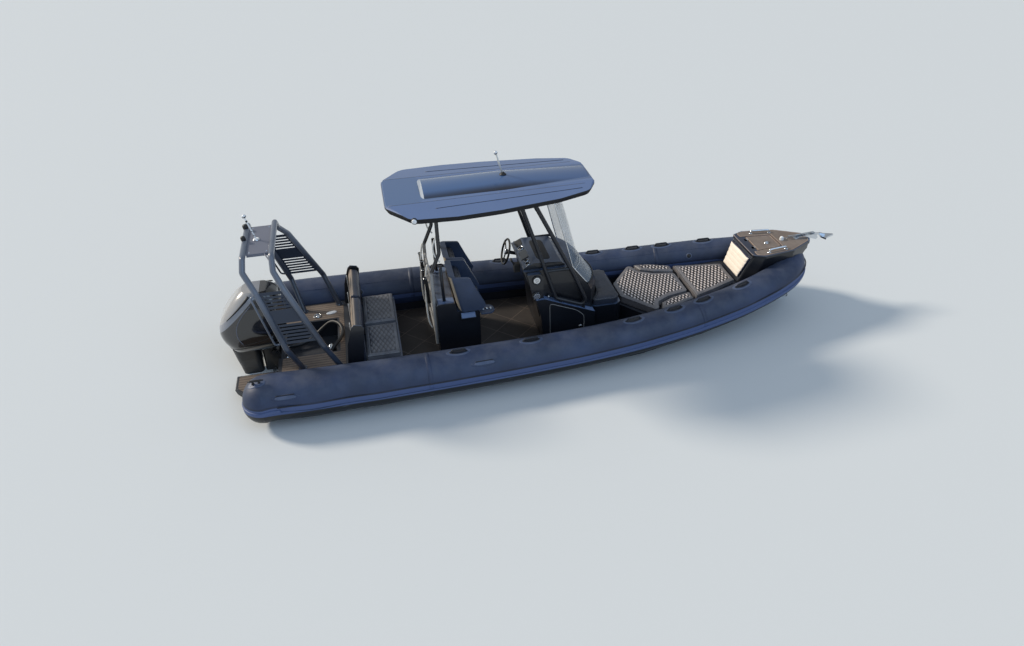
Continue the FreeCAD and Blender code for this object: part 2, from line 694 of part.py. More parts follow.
# Console: a lower moulding with sloping shoulders, an upper one that carries the windscreen
console_half = 535.0
console_side = [(-20, floor_z), (655, floor_z), (673, 528), (0, 812), (-120, 812), (-60, 560)]
console_lower = side_profile(console_side, -console_half, console_half)
upper_half = 432.0
screen_bulge = 150.0
# Console and windscreen levels: z, aft face x, x of the front at the sides
console_levels = ((812, -118, 640), (900, -158, 600), (1143, -236, 415), (1190, -250, 385))
screen_foot_z = 905.0
screen_levels = ((screen_foot_z, 600 - 185 * 5 / 243), (1143, 415), (1190, 385), (1664, 270), (2130, 145))


def bowed(aft_x, side_x, half, z):
    """A plan outline with straight sides and a front that bows forward."""
    a, b, c, d = V(aft_x, -half, z), V(side_x, -half, z), V(side_x, half, z), V(aft_x, half, z)
    return Part.Wire([Part.LineSegment(a, b).toShape(), Part.Arc(b, V(side_x + screen_bulge, 0, z), c).toShape(),
                      Part.LineSegment(c, d).toShape(), Part.LineSegment(d, a).toShape()])


console_upper = Part.makeLoft([bowed(aft, front, upper_half, z) for z, aft, front in console_levels], True, True)
skirt = Part.makeLoft([bowed(-60, 640, upper_half, 500), bowed(-118, 640, upper_half, 812)], True, True)
dash_side = [(-250, 1189), (330, 1189), (250, 1250), (-110, 1275), (-235, 1215)]
dash = side_profile(dash_side, -380, 380, 18)
# A pod on each side of the upper moulding carries the round fittings
pod_half = 500.0
pod_side = [(-112, 790), (-10, 790), (-10, 1120), (-42, 1172), (-218, 1172), (-164, 900), (-152, 830)]
pod = side_profile(pod_side, upper_half - 10, pod_half, 24)
console = joined([console_lower, skirt, console_upper, dash, pod, port_to_starboard(pod)])
save("console", console)

# Feet that seat the frame on the console's shoulders
feet = [Part.makeCylinder(22, 90, V(x, side * frame_half, z)) for side in (1, -1) for x, z in ((210, 678), (520, 548))]
ttop_frame = joined([ttop_frame] + feet).cut(console).cut(roof_solid)
save("ttop_frame", max(ttop_frame.Solids, key=lambda solid: solid.Volume))

glass_thick = 8.0


def glass_section(side_x, z):
    """A thin bowed strip, standing just ahead of the console."""
    front, back = side_x + seat + glass_thick, side_x + seat
    h = upper_half
    a, b, c, d = V(back, -h, z), V(front, -h, z), V(front, h, z), V(back, h, z)
    return Part.Wire([Part.LineSegment(a, b).toShape(), Part.Arc(b, V(front + screen_bulge, 0, z), c).toShape(),
                      Part.LineSegment(c, d).toShape(), Part.Arc(d, V(back + screen_bulge, 0, z), a).toShape()])


screen = Part.makeLoft([glass_section(x, z) for z, x in screen_levels], True, True)
save("windscreen", screen)

# Steering wheel on its tilted column, throttle and two round fittings
wheel_centre = V(-352, 275, 1150)
wheel_axis = V(-0.951, 0, 0.310).normalize()
wheel_r = 168.0
rim_r = 14.0
hub_depth = 26.0
rim = Part.makeTorus(wheel_r, rim_r)
hub = Part.makeCylinder(36, hub_depth + 8, V(0, 0, -hub_depth))
spokes = []
for k in range(3):
    angle = math.radians(90 + 120 * k)
    spokes.append(cylinder((0, 0, -8), (wheel_r * math.cos(angle), wheel_r * math.sin(angle), 0), 9))
wheel = joined([rim, hub] + spokes)
wheel_across = V(0, 1, 0)
wheel.Placement = FreeCAD.Placement(wheel_centre, FreeCAD.Rotation(wheel_across, wheel_axis.cross(wheel_across),
                                                                  wheel_axis, "ZXY"))
save("steering_wheel", wheel)
column_len = 150.0
column_start = wheel_centre - wheel_axis * (hub_depth + seat)
column = Part.makeCylinder(24, column_len, column_start, wheel_axis * -1).cut(console)
save("steering_column", max(column.Solids, key=lambda s: s.Volume))
throttle_box = Part.makeBox(80, 90, 110, V(-310, -105, 1020)).cut(console)
throttle_box = max(throttle_box.Solids, key=lambda s: s.Volume)
throttle = joined([throttle_box, cylinder((-290, -60, 1090), (-340, -60, 1190), 11),
                   cylinder((-340, -95, 1190), (-340, -25, 1190), 15)])
save("throttle", throttle)
disc_r = 42.0
discs = [Part.makeCylinder(disc_r, 16, V(x, -pod_half - seat, z), V(0, -1, 0)) for x, z in
         ((-98, 1092), (-102, 862))]
save("console_speakers", group(discs))

# Seat on the front of the console
front_seat_plan = [(674, 425), (1000, 425), (1075, 355)]
front_seat_base_z = 530.0
save("front_seat_base", plan_profile(mirrored_plan(front_seat_plan), floor_z, front_seat_base_z, 60).cut(console))
front_cushion = plan_profile(mirrored_plan(front_seat_plan), front_seat_base_z + seat, front_seat_base_z + 100, 60)
save("front_seat_cushion", front_cushion.cut(console))

# Lounge cushions on the bow deck: an aft pad, a forward pad and two side pads
pad_z0 = deck_z + seat
pad_z1 = deck_z + 118
seam_gap = 8.0
seam_x = deck_rise_x - seam_gap / 2
pad_aft_edge = cockpit_fwd_x + 12
aft_pad = plan_profile(mirrored_plan([(pad_aft_edge, 185), (1462, 632), (1536, 622), (1600, 452), (1785, 348),
                                      (seam_x - seam_gap, 275)]), pad_z0, pad_z1, 55)
save("lounge_pad_aft", aft_pad)
side_pad = plan_profile([(1553, 640), (1614, 463), (1792, 358), (seam_x - seam_gap, 284), (seam_x - seam_gap, 480),
                         (1800, 610)], pad_z0, pad_z1, 30)
save("lounge_pads_side", both_sides(side_pad.cut(aft_pad)))
pad_fwd_x = 2772.0
pad_thin = 62.0
bow_pad_aft_x = deck_rise_x
pad_slope = side_profile([(bow_pad_aft_x, pad_z0), (pad_fwd_x, deck_height(pad_fwd_x) + seat),
                          (pad_fwd_x, deck_height(pad_fwd_x) + pad_thin), (bow_pad_aft_x, pad_z1)], -480, 480)
fwd_outline = plan_profile(mirrored_plan([(bow_pad_aft_x, 470), (2400, 385), (pad_fwd_x, 255)]), 0, 900)
save("lounge_pad_bow", pad_slope.common(fwd_outline))

# Bow locker over the nose of the tube, its padded face, deck and hatch
locker_low = [(2783, 262), (2940, 345), (3534, 330), (3800, 130), (3860, 60)]
locker_top = [(2948, 322), (3098, 388), (3534, 318), (3862, 122), (3900, 52)]
bow_deck_z = 905.0
bow_deck_thick = 34.0
locker = Part.makeLoft([wire([(x, y, deck_bow_z + seat) for x, y in mirrored_plan(locker_low)], 40),
                        wire([(x, y, bow_deck_z) for x, y in mirrored_plan(locker_top)], 40)], True, True)
beak = side_profile([(3560, 300), (4000, 300), (4000, 860), (3820, 820), (3560, 640)], -600, 600)
hatch_x0, hatch_x1 = 3060.0, 3430.0
hatch_half_aft, hatch_half_fwd = 215.0, 175.0
hatch_open = [(hatch_x0 + 15, hatch_half_aft - 15), (hatch_x1 - 15, hatch_half_fwd - 15)]
locker = locker.cut(beak).cut(collar).cut(plan_profile(mirrored_plan(hatch_open), 640, 1000)).cut(hull)
locker = max(locker.Solids, key=lambda s: s.Volume)
save("bow_locker", locker)
face_lean = (2948 - 2783) / (bow_deck_z - deck_bow_z)
bow_pad = Part.makeLoft([wire([(2745 + face_lean * 60, s * 235, 565) if k < 1 else (2790 + face_lean * 60, s * 252, 565)
                               for k, s in ((0, -1), (0, 1), (1, 1), (1, -1))]),
                         wire([(2745 + face_lean * 385, s * 290, 890) if k < 1 else (2790 + face_lean * 385, s * 308, 890)
                               for k, s in ((0, -1), (0, 1), (1, 1), (1, -1))])], True, True)
save("bow_pad", bow_pad.cut(locker))
deck_edge = [(2936, 334), (3094, 402), (3540, 332), (3872, 130), (3912, 55)]
hatch_gap = 5.0
deck_hole = [(hatch_x0 - hatch_gap, hatch_half_aft + hatch_gap), (hatch_x1 + hatch_gap, hatch_half_fwd + hatch_gap)]
bow_deck = plan_profile(mirrored_plan(deck_edge), bow_deck_z + seat, bow_deck_z + bow_deck_thick, 50)
hole_low = plan_profile(mirrored_plan(hatch_open), 800, 1000)
hole_top = plan_profile(mirrored_plan(deck_hole), bow_deck_z + bow_deck_thick / 2, 1000, 30)
save("bow_deck", bow_deck.cut(hole_low).cut(hole_top))
hatch = plan_profile(mirrored_plan([(hatch_x0, hatch_half_aft), (hatch_x1, hatch_half_fwd)]),
                     bow_deck_z + bow_deck_thick / 2 + seat, bow_deck_z + bow_deck_thick, 25)
save("bow_hatch", hatch)

# Hatch hinges: two barrels on the deck behind the hatch
hatch_hinge_r = 6.0
hatch_hinge_x = hatch_x0 - 3
hatch_hinge_z = bow_deck_z + bow_deck_thick + hinge_gap + hatch_hinge_r
hatch_hinges = []
for y in (-120, 120):
    barrel = cylinder((hatch_hinge_x, y - 30, hatch_hinge_z), (hatch_hinge_x, y + 30, hatch_hinge_z), hatch_hinge_r)
    leaf = box(hatch_hinge_x - 42, hatch_hinge_x - 2, y - 28, y + 28, bow_deck_z + bow_deck_thick + seat,
               bow_deck_z + bow_deck_thick + seat + hinge_leaf)
    hatch_hinges.append(joined([barrel, leaf]))
save("hatch_hinges", group(hatch_hinges))

# Fittings on the bow deck: two bow-shaped cleats, a nav lamp, the roller and the anchor
bow_top = bow_deck_z + bow_deck_thick
cleat_port = rod([(3190, 300, bow_top + seat), (3190, 300, bow_top + 42), (3452, 262, bow_top + 42),
                  (3452, 262, bow_top + seat)], 13, 28)
save("bow_cleats", both_sides(cleat_port))
save("nav_lamp", joined([Part.makeCylinder(30, 16, V(3512, 0, bow_top + seat)), ball(3512, 0, bow_top + 30, 27)]))
roller_half = 46.0
cheek = side_profile([(3700, bow_top + seat), (3916, bow_top + seat), (4010, bow_top - 30), (4035, bow_top - 5),
                      (4010, bow_top + 50), (3760, bow_top + 38)], roller_half - 8, roller_half)
bed = side_profile([(3700, bow_top + seat), (3905, bow_top + seat), (3905, bow_top + 6), (3700, bow_top + 6)],
                   -roller_half, roller_half)
wheel_pin = cylinder((3995, -roller_half, bow_top + 8), (3995, roller_half, bow_top + 8), 22)
save("bow_roller", joined([cheek, port_to_starboard(cheek), bed, wheel_pin]))
shank_z = bow_top + 30 + 12 + seat
shank = side_profile([(3600, shank_z - 12), (4000, shank_z - 12), (4150, shank_z - 60), (4165, shank_z - 30),
                      (4010, shank_z + 14), (3600, shank_z + 10)], -9, 9)
fluke = plan_profile(mirrored_plan([(4095, 20), (4130, 105), (4175, 60), (4290, 12)]), shank_z - 70, shank_z - 48)
save("anchor", joined([shank, fluke]))

# Towing eye on the stem: a plate with a hole, standing out of the bow
eye_hole_r = 14.0
eye_plate = side_profile([(3540, -10), (3660, 0), (3700, 20), (3712, 45), (3700, 75), (3560, 110)], -8, 8)
eye_plate = eye_plate.cut(Part.makeCylinder(eye_hole_r, 40, V(3680, -20, 42), V(0, 1, 0))).cut(hull)
save("bow_eye", max(eye_plate.Solids, key=lambda s: s.Volume))

# Stern eyes on the transom, one a side: a level tab with a hole down through it
stern_eye_y = 620.0
stern_eye_z = 286.0
stern_eye = box(transom_x - 62, transom_x - seat, stern_eye_y - 30, stern_eye_y + 30, stern_eye_z, stern_eye_z + 12)
stern_eye = rounded(stern_eye, 20, lambda d, m: abs(d.z) > 0.9 and m.x < transom_x - 60)
stern_eye = stern_eye.cut(Part.makeCylinder(eye_hole_r, 40, V(transom_x - 36, stern_eye_y, stern_eye_z - 20)))
save("stern_eyes", both_sides(stern_eye))

# Carrying handles along the top of the tubes: station x
handle_xs = (-1230, -310, 1060, 1640, 2060, 2650)
handle_len = 190.0
handles = []
for x in handle_xs:
    z = tube_height(x) + tube_radius(x)
    slope = math.atan2(tube_height(x + 50) - tube_height(x - 50), 100)
    yaw = math.atan2(tube_y(x + 50) - tube_y(x - 50), 100)
    grip = rod([(-handle_len / 2, 0, -3), (-handle_len / 2 + 20, 0, 34), (handle_len / 2 - 20, 0, 34),
                (handle_len / 2, 0, -3)], 11, 22)
    grip.Placement = FreeCAD.Placement(V(x, tube_y(x), z), FreeCAD.Rotation(V(0, 0, 1), math.degrees(yaw))
                                       .multiply(FreeCAD.Rotation(V(0, 1, 0), -math.degrees(slope))))
    grip = max(grip.cut(collar).Solids, key=lambda s: s.Volume)
    handles += [grip, port_to_starboard(grip)]
save("tube_handles", group(handles))

# Outboard engine: clamp bracket on the transom, tilting swivel bracket, steered engine, propeller
tilt_x, tilt_z = -3508.0, 306.0
tilt_tube_r = 20.0
clamp_in, clamp_out = 106.0, 150.0
clamp_side = [(transom_x - seat, -215), (transom_x - 26, -215), (-3562, 160), (-3562, 335), (-3535, 352),
              (-3485, 352), (transom_x - seat, transom_cut_z - 8)]
clamp = side_profile(clamp_side, clamp_in, clamp_out, 14)
clamp_bracket = joined([clamp, port_to_starboard(clamp),
                        cylinder((tilt_x, -clamp_out - 12, tilt_z), (tilt_x, clamp_out + 12, tilt_z), tilt_tube_r)])
save("clamp_bracket", clamp_bracket)
pin_gap = 0.4
steer_x = -3650.0
swivel_half = clamp_in - 6
swivel_r = 46.0
swivel_z0, swivel_z1 = -110.0, 372.0
shaft_r = 21.0
swivel_side = [(tilt_x + 30, tilt_z - 42), (tilt_x + 38, tilt_z + 20), (tilt_x, tilt_z + 46), (steer_x, swivel_z1),
               (steer_x, swivel_z0), (steer_x + 30, swivel_z0), (-3568, 60), (-3560, 180)]
swivel = side_profile(swivel_side, -swivel_half, swivel_half)
swivel = swivel.cut(box(steer_x - 1, steer_x + 50, swivel_r, 200, -300, 600))
swivel = swivel.cut(box(steer_x - 1, steer_x + 50, -200, -swivel_r, -300, 600))
swivel = joined([swivel, Part.makeCylinder(swivel_r, swivel_z1 - swivel_z0, V(steer_x, 0, swivel_z0))])
swivel = swivel.cut(cylinder((tilt_x, -300, tilt_z), (tilt_x, 300, tilt_z), tilt_tube_r + pin_gap))
swivel = swivel.cut(Part.makeCylinder(shaft_r + pin_gap, 900, V(steer_x, 0, -400)))
save("swivel_bracket", swivel)


def rounded_plan(aft_x, fwd_x, half, corner, z):
    """A plan outline with four round corners."""
    r = min(corner, half - 2, (fwd_x - aft_x) / 2 - 2)
    k = r * (1 - math.sqrt(0.5))
    edges = []
    # Corner: x, y, sign of x, sign of y, going round
    spots = ((fwd_x, half, 1, 1), (aft_x, half, -1, 1), (aft_x, -half, -1, -1), (fwd_x, -half, 1, -1))
    ends = []
    for x, y, sx, sy in spots:
        on_x, on_y = V(x, y - sy * r, z), V(x - sx * r, y, z)
        middle = V(x - sx * k, y - sy * k, z)
        first, last = (on_x, on_y) if sx * sy > 0 else (on_y, on_x)
        ends.append((first, middle, last))
    for i, (first, middle, last) in enumerate(ends):
        edges.append(Part.Arc(first, middle, last).toShape())
        edges.append(Part.LineSegment(last, ends[(i + 1) % 4][0]).toShape())
    return Part.Wire(edges)


# Cowl sections: z, aft x, forward x, half width, corner radius
cowl_sections = (
    (402, -4010, -3440, 175, 110),
    (540, -4085, -3345, 262, 170),
    (760, -4130, -3300, 288, 190),
    (960, -4040, -3292, 278, 185),
    (1130, -3900, -3325, 236, 165),
    (1238, -3770, -3430, 150, 110),
)
cowl = Part.makeLoft([rounded_plan(a, f, h, c, z) for z, a, f, h, c in cowl_sections], True, False)
save("engine_cowl", cowl)
pan_z = 402.0
# Leg sections: z, aft x, forward x, half width, corner radius
leg_sections = ((pan_z - seat, -4046, -3702, 150, 95), (240, -4022, -3706, 122, 85), (110, -3996, -3712, 88, 66),
                (-150, -3952, -3720, 62, 50), (-374, -3930, -3722, 46, 40))
leg = Part.makeLoft([rounded_plan(a, f, h, c, z) for z, a, f, h, c in leg_sections], True, True)
yoke_top = box(steer_x - 90, steer_x + 30, -40, 40, swivel_z1 + 6, pan_z - seat)
yoke_low = box(steer_x - 90, steer_x + 30, -40, 40, swivel_z0 - 46, swivel_z0 - 6)
shaft = Part.makeCylinder(shaft_r, pan_z - seat - swivel_z0 + 46, V(steer_x, 0, swivel_z0 - 46))
save("engine_leg", joined([leg, yoke_top, yoke_low, shaft]))
plate_z = -386.0
anti_plate = plan_profile(mirrored_plan([(-4190, 70), (-4130, 118), (-3860, 112), (-3700, 30)]), plate_z, plate_z + 12 - seat)
strut = Part.makeLoft([rounded_plan(-3935, -3722, 40, 30, plate_z), rounded_plan(-3925, -3735, 28, 22, -560)], True, True)
prop_z = -588.0
gear_r = 66.0
gear_edges = [Part.Arc(V(-3640, 0, prop_z), V(-3668, 0, prop_z + 42), V(-3740, 0, prop_z + gear_r)).toShape(),
              Part.LineSegment(V(-3740, 0, prop_z + gear_r), V(-3930, 0, prop_z + gear_r - 4)).toShape(),
              Part.LineSegment(V(-3930, 0, prop_z + gear_r - 4), V(-3985, 0, prop_z + 52)).toShape(),
              Part.LineSegment(V(-3985, 0, prop_z + 52), V(-3985, 0, prop_z)).toShape(),
              Part.LineSegment(V(-3985, 0, prop_z), V(-3640, 0, prop_z)).toShape()]
torpedo = Part.Face(Part.Wire(gear_edges)).revolve(V(0, 0, prop_z), V(1, 0, 0), 360)
skeg = side_profile([(-3735, prop_z - 50), (-3800, -830), (-3880, -845), (-3935, prop_z - 50)], -7, 7)
prop_pin_r = 12.0
prop_pin = cylinder((-4146, 0, prop_z), (-3980, 0, prop_z), prop_pin_r)
prop_nut = Part.makeCylinder(22, 18, V(-4142, 0, prop_z), V(1, 0, 0))
save("gearcase", joined([anti_plate, strut, torpedo, skeg, prop_pin, prop_nut]))

# Propeller: a hub and three twisted blades on the gearcase's shaft
prop_x0, prop_x1 = -4118.0, -3992.0
prop_hub_r = 48.0
prop_r = 190.0
blade_pitch = 430.0
# Blade sections: radius, width, thickness
blade_rows = ((36, 120, 16), (90, 165, 11), (145, 150, 8), (186, 84, 5))


def blade_section(radius, width, thick):
    """A lens turned to the blade's pitch angle at this radius, for a blade that points up."""
    pitch = math.atan2(blade_pitch, 2 * math.pi * radius)
    a, b = V(-width / 2, 0, radius), V(width / 2, 0, radius)
    lens = Part.Wire([Part.Arc(a, V(0, 1.4 * thick, radius), b).toShape(),
                      Part.Arc(b, V(0, 0.4 * thick, radius), a).toShape()])
    lens.rotate(V(0, 0, 0), V(0, 0, 1), 90 - math.degrees(pitch))
    return lens


blade = Part.makeLoft([blade_section(*row) for row in blade_rows], True, False)
prop_hub = cylinder((prop_x0, 0, 0), (prop_x1, 0, 0), prop_hub_r)
prop_centre_x = (prop_x0 + prop_x1) / 2
blades = []
for k in range(3):
    one = blade.copy()
    one.rotate(V(0, 0, 0), V(1, 0, 0), 120 * k)
    one.translate(V(prop_centre_x, 0, 0))
    blades.append(one)
propeller = joined([prop_hub] + blades)
propeller.translate(V(0, 0, prop_z))
propeller = propeller.cut(cylinder((prop_x0 - 10, 0, prop_z), (prop_x1 + 10, 0, prop_z), prop_pin_r + pin_gap))
save("propeller", propeller)
# Aerial on the roof
aerial = joined([Part.makeCylinder(24, 30, V(-390, 0, 2340)), cylinder((-390, 0, 2360), (-467, 0, 2650), 8),
                 ball(-467, 0, 2655, 24)])
save("roof_aerial", max(aerial.cut(roof_solid).Solids, key=lambda solid: solid.Volume))
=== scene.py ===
# %% [markdown]
# # A rigid inflatable boat
# The boat is 7.7 m long: a deep hull with an inflated tube round it, a console under a T-top roof, seats, a stern
# arch, a bow lounge with a locker, and one outboard engine. Its rigid parts come from a CAD model, which is loaded as
# a frame that never moves. This script gives those parts their finishes and adds what a CAD model lacks: stuffed
# cushions, quilting, piping, seams, stitches, screws and small fittings.
#
# Everything is in metres. The origin is on the waterline amidships, X runs to the bow, Y to port and Z up.

# %% Load the frame
import json
import math

import bmesh
import bpy
import numpy as np
from mathutils import Matrix, Vector
from mathutils.bvhtree import BVHTree


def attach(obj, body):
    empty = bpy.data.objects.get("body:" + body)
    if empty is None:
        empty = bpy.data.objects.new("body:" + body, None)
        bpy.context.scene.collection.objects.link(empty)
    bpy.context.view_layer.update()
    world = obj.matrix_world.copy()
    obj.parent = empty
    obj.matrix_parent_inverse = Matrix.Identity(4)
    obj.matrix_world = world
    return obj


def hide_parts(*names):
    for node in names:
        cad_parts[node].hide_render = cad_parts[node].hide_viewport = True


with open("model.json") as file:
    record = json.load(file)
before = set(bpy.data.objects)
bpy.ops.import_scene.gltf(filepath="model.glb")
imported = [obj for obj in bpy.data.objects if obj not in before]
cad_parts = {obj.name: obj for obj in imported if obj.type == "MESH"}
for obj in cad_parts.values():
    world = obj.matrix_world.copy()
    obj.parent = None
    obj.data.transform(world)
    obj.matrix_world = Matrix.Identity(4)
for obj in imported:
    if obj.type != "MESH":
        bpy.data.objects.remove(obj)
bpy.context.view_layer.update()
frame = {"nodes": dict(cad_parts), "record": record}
nodes = frame["nodes"]
UP, DOWN, FORWARD, AFT, STARBOARD = (0, 0, 1), (0, 0, -1), (1, 0, 0), (-1, 0, 0), (0, -1, 0)

# %% [markdown]
# ## Camera
# The photograph was taken from above the starboard quarter. Its viewing angle was worked out from edges of known
# length on the boat, so the camera here is written down as that angle: how far round, how far up, how much it is
# tilted, how far away it stands, and the length of its lens. The three unit vectors of the camera become the columns
# of its matrix, because a Blender camera looks along its own minus Z.

# %% Place the camera
azimuth, elevation, roll = (math.radians(v) for v in (-9.825, 32.296, -2.521))
view_target = Vector((-0.436, -0.467, 0.48))
view_distance = 10.873
back = Vector((math.sin(azimuth) * math.cos(elevation), -math.cos(azimuth) * math.cos(elevation), math.sin(elevation)))
level_right = (-back).cross(Vector(UP)).normalized()
level_up = level_right.cross(-back)
right = math.cos(roll) * level_right + math.sin(roll) * level_up
up = -math.sin(roll) * level_right + math.cos(roll) * level_up
camera_data = bpy.data.cameras.new("camera")
camera_data.sensor_width = 36.0
camera_data.lens = 29.157
camera = bpy.data.objects.new("camera", camera_data)
camera_turn = Matrix((right, up, back)).transposed().to_4x4()
camera.matrix_world = Matrix.Translation(view_target + back * view_distance) @ camera_turn
bpy.context.scene.collection.objects.link(camera)
bpy.context.scene.camera = camera
bpy.context.scene.view_settings.view_transform = "Standard"
print("camera at", [round(v, 2) for v in camera.matrix_world.translation])

# %% [markdown]
# ## Shader maths
# A finish is a graph of nodes. Wiring one by hand takes many lines, so a small class wraps a socket and lets it be
# used in an ordinary expression: `1 - mask * 0.5` adds the two Math nodes and joins them. Every other node comes from
# one method that takes its type, its settings and its sockets.


# %% A socket that can be used in an expression
def operator(operation, turned=False):
    """A method that adds a Math node. A turned one serves the reflected form, such as 1 - mask."""
    return lambda self, other: self.maths(operation, other, turned=turned)


class Value:
    """A shader socket. Arithmetic on it adds Math nodes to the same finish."""

    def __init__(self, finish, socket):
        self.finish, self.socket = finish, socket

    def maths(self, operation, *others, turned=False):
        terms = (*others, self) if turned else (self, *others)
        return self.finish.node("ShaderNodeMath", {"operation": operation}, dict(enumerate(terms)))

    __add__, __radd__ = operator("ADD"), operator("ADD", turned=True)
    __sub__, __rsub__ = operator("SUBTRACT"), operator("SUBTRACT", turned=True)
    __mul__, __rmul__ = operator("MULTIPLY"), operator("MULTIPLY", turned=True)
    __truediv__, least, most = operator("DIVIDE"), operator("MINIMUM"), operator("MAXIMUM")

    def abs(self):
        return self.maths("ABSOLUTE")

    def step(self, low, high):
        """0 below low, 1 above high, with a smooth rise between them."""
        return self.finish.node("ShaderNodeMapRange", {"interpolation_type": "SMOOTHSTEP"},
                                {"Value": self, "From Min": low, "From Max": high})

    def wave(self, pitch):
        """The distance to the nearest line of a row of lines that are pitch apart, from 0 on a line to 0.5."""
        return self.maths("PINGPONG", pitch / 2) / pitch


def srgb(red, green, painted_sheen_blue):
    """A colour as a picture stores it, 0 to 255, as the linear colour that a shader wants."""
    def linear(v):
        v /= 255
        return v / 12.92 if v <= 0.04045 else ((v + 0.055) / 1.055) ** 2.4
    return (linear(red), linear(green), linear(painted_sheen_blue), 1.0)


class Finish:
    """A material under construction."""

    def __init__(self, name):
        self.material = bpy.data.materials.new(name)
        self.material.use_nodes = True
        self.tree = self.material.node_tree
        self.tree.nodes.clear()

    def node(self, kind, settings=None, sockets=None, output=0):
        made = self.tree.nodes.new(kind)
        for key, value in (settings or {}).items():
            setattr(made, key, value)
        for key, value in (sockets or {}).items():
            if isinstance(value, Value):
                self.tree.links.new(value.socket, made.inputs[key])
            elif value is not None:
                made.inputs[key].default_value = value
        return Value(self, made.outputs[output]) if made.outputs else None

    def place(self):
        """Where a point is on the boat, in metres."""
        return self.node("ShaderNodeTexCoord", output=3)

    def xyz(self, vector=None):
        vector = vector or self.place()
        split = self.node("ShaderNodeSeparateXYZ", {}, {0: vector})
        return split, *(Value(self, split.socket.node.outputs[k]) for k in (1, 2))

    def noise(self, scale, detail=3.0, roughness=0.55, vector=None, distortion=0.0):
        return self.node("ShaderNodeTexNoise", {}, {"Vector": vector or self.place(), "Scale": scale, "Detail": detail,
                                                    "Roughness": roughness, "Distortion": distortion})

    def leather(self):
        """The grain of leather: 0 in the creases of a net of small cells and 1 on top of them."""
        cells = self.node("ShaderNodeTexVoronoi", {"feature": "DISTANCE_TO_EDGE"},
                          {"Vector": self.place(), "Scale": 420.0, "Randomness": 1.0})
        return cells.step(0.0, 0.25)

    def stretched(self, x, y, z):
        """The place, scaled along each axis, for grain that runs one way."""
        return self.node("ShaderNodeMapping", {}, {"Vector": self.place(), "Scale": (x, y, z)})

    def mix(self, first, second, share):
        return self.node("ShaderNodeMix", {"data_type": "RGBA"}, {0: share, 6: first, 7: second}, output=2)

    def bump(self, height, distance, strength=1.0, under=None):
        return self.node("ShaderNodeBump", {}, {"Height": height, "Distance": distance, "Strength": strength,
                                                "Normal": under})

    def facing(self):
        """The three parts of the surface's direction."""
        return self.xyz(self.node("ShaderNodeNewGeometry", output=1))

    def upward(self):
        """1 where a surface faces the sky, 0 where it stands or hangs."""
        return self.facing()[2].step(0.2, 0.95)

    def done(self, color, roughness, normal=None, metallic=0.0, coat=None, **constants):
        """Join the values to the surface. Constants are the shader's own sockets."""
        sockets = {"Base Color": color, "Roughness": roughness, "Normal": normal, "Metallic": metallic,
                   "Coat Weight": coat, **{k.replace("_", " "): v for k, v in constants.items()}}
        shader = self.node("ShaderNodeBsdfPrincipled", {}, sockets)
        self.node("ShaderNodeOutputMaterial", {}, {"Surface": shader})
        return self.material


print("shader helpers ready")

# %% [markdown]
# ## Floor and light
# The boat is shown afloat, so the pale floor stands at its waterline, z = 0, and hides the hull below it. The light is
# that of a plain studio: a soft white world, a warm lamp from the stern on the port side, where the low sun of the
# photograph stood, and a weaker sky-blue one from the camera's side. Both are far lamps with a wide disc, so the
# floor is lit evenly and the shadows stay soft. Only the camera and what it sees through glass get the world's full
# white, so the background adds no light to the boat.


# %% Floor, lamps and world
def sun_lamp(name, toward, strength, color, spread):
    """An even lamp that shines from a direction, with soft shadows."""
    data = bpy.data.lights.new(name, "SUN")
    data.energy, data.color, data.angle = strength, color, math.radians(spread)
    lamp = bpy.data.objects.new(name, data)
    lamp.rotation_mode = "QUATERNION"
    lamp.rotation_quaternion = (-Vector(toward)).to_track_quat("-Z", "Y")
    bpy.context.scene.collection.objects.link(lamp)
    return lamp


sun_lamp("key lamp", (-1.0, 0.62, 0.72), 3.0, (1.0, 0.90, 0.76), 11)
sun_lamp("fill lamp", (0.5, -1.0, 0.9), 0.90, (0.42, 0.66, 1.0), 60)
world = bpy.data.worlds.new("studio")
world.use_nodes = True
bpy.context.scene.world = world
tree = world.node_tree
tree.nodes.clear()
paths = tree.nodes.new("ShaderNodeLightPath")
seen = tree.nodes.new("ShaderNodeMath")
seen.operation = "MAXIMUM"
tree.links.new(paths.outputs["Is Camera Ray"], seen.inputs[0])
tree.links.new(paths.outputs["Is Transmission Ray"], seen.inputs[1])
soft, plain = (tree.nodes.new("ShaderNodeBackground") for _ in range(2))
soft.inputs[0].default_value, soft.inputs[1].default_value = (0.86, 0.93, 1.0, 1), 0.42
plain.inputs[0].default_value, plain.inputs[1].default_value = (0.88, 0.90, 0.92, 1), 1.0
choose = tree.nodes.new("ShaderNodeMixShader")
for source, target in ((seen.outputs[0], 0), (soft.outputs[0], 1), (plain.outputs[0], 2)):
    tree.links.new(source, choose.inputs[target])
tree.links.new(choose.outputs[0], tree.nodes.new("ShaderNodeOutputWorld").inputs[0])

floor_mesh = bpy.data.meshes.new("floor")
floor_reach = 60.0
floor_corners = [(x * floor_reach, y * floor_reach, 0) for x, y in ((-1, -1), (1, -1), (1, 1), (-1, 1))]
floor_mesh.from_pydata(floor_corners, [], [(0, 1, 2, 3)])
floor = bpy.data.objects.new("floor", floor_mesh)
bpy.context.scene.collection.objects.link(floor)
paper = Finish("floor paper")
floor_mesh.materials.append(paper.done(srgb(214, 218, 220), 0.85, Specular_IOR_Level=0.15))
print("floor at the waterline")
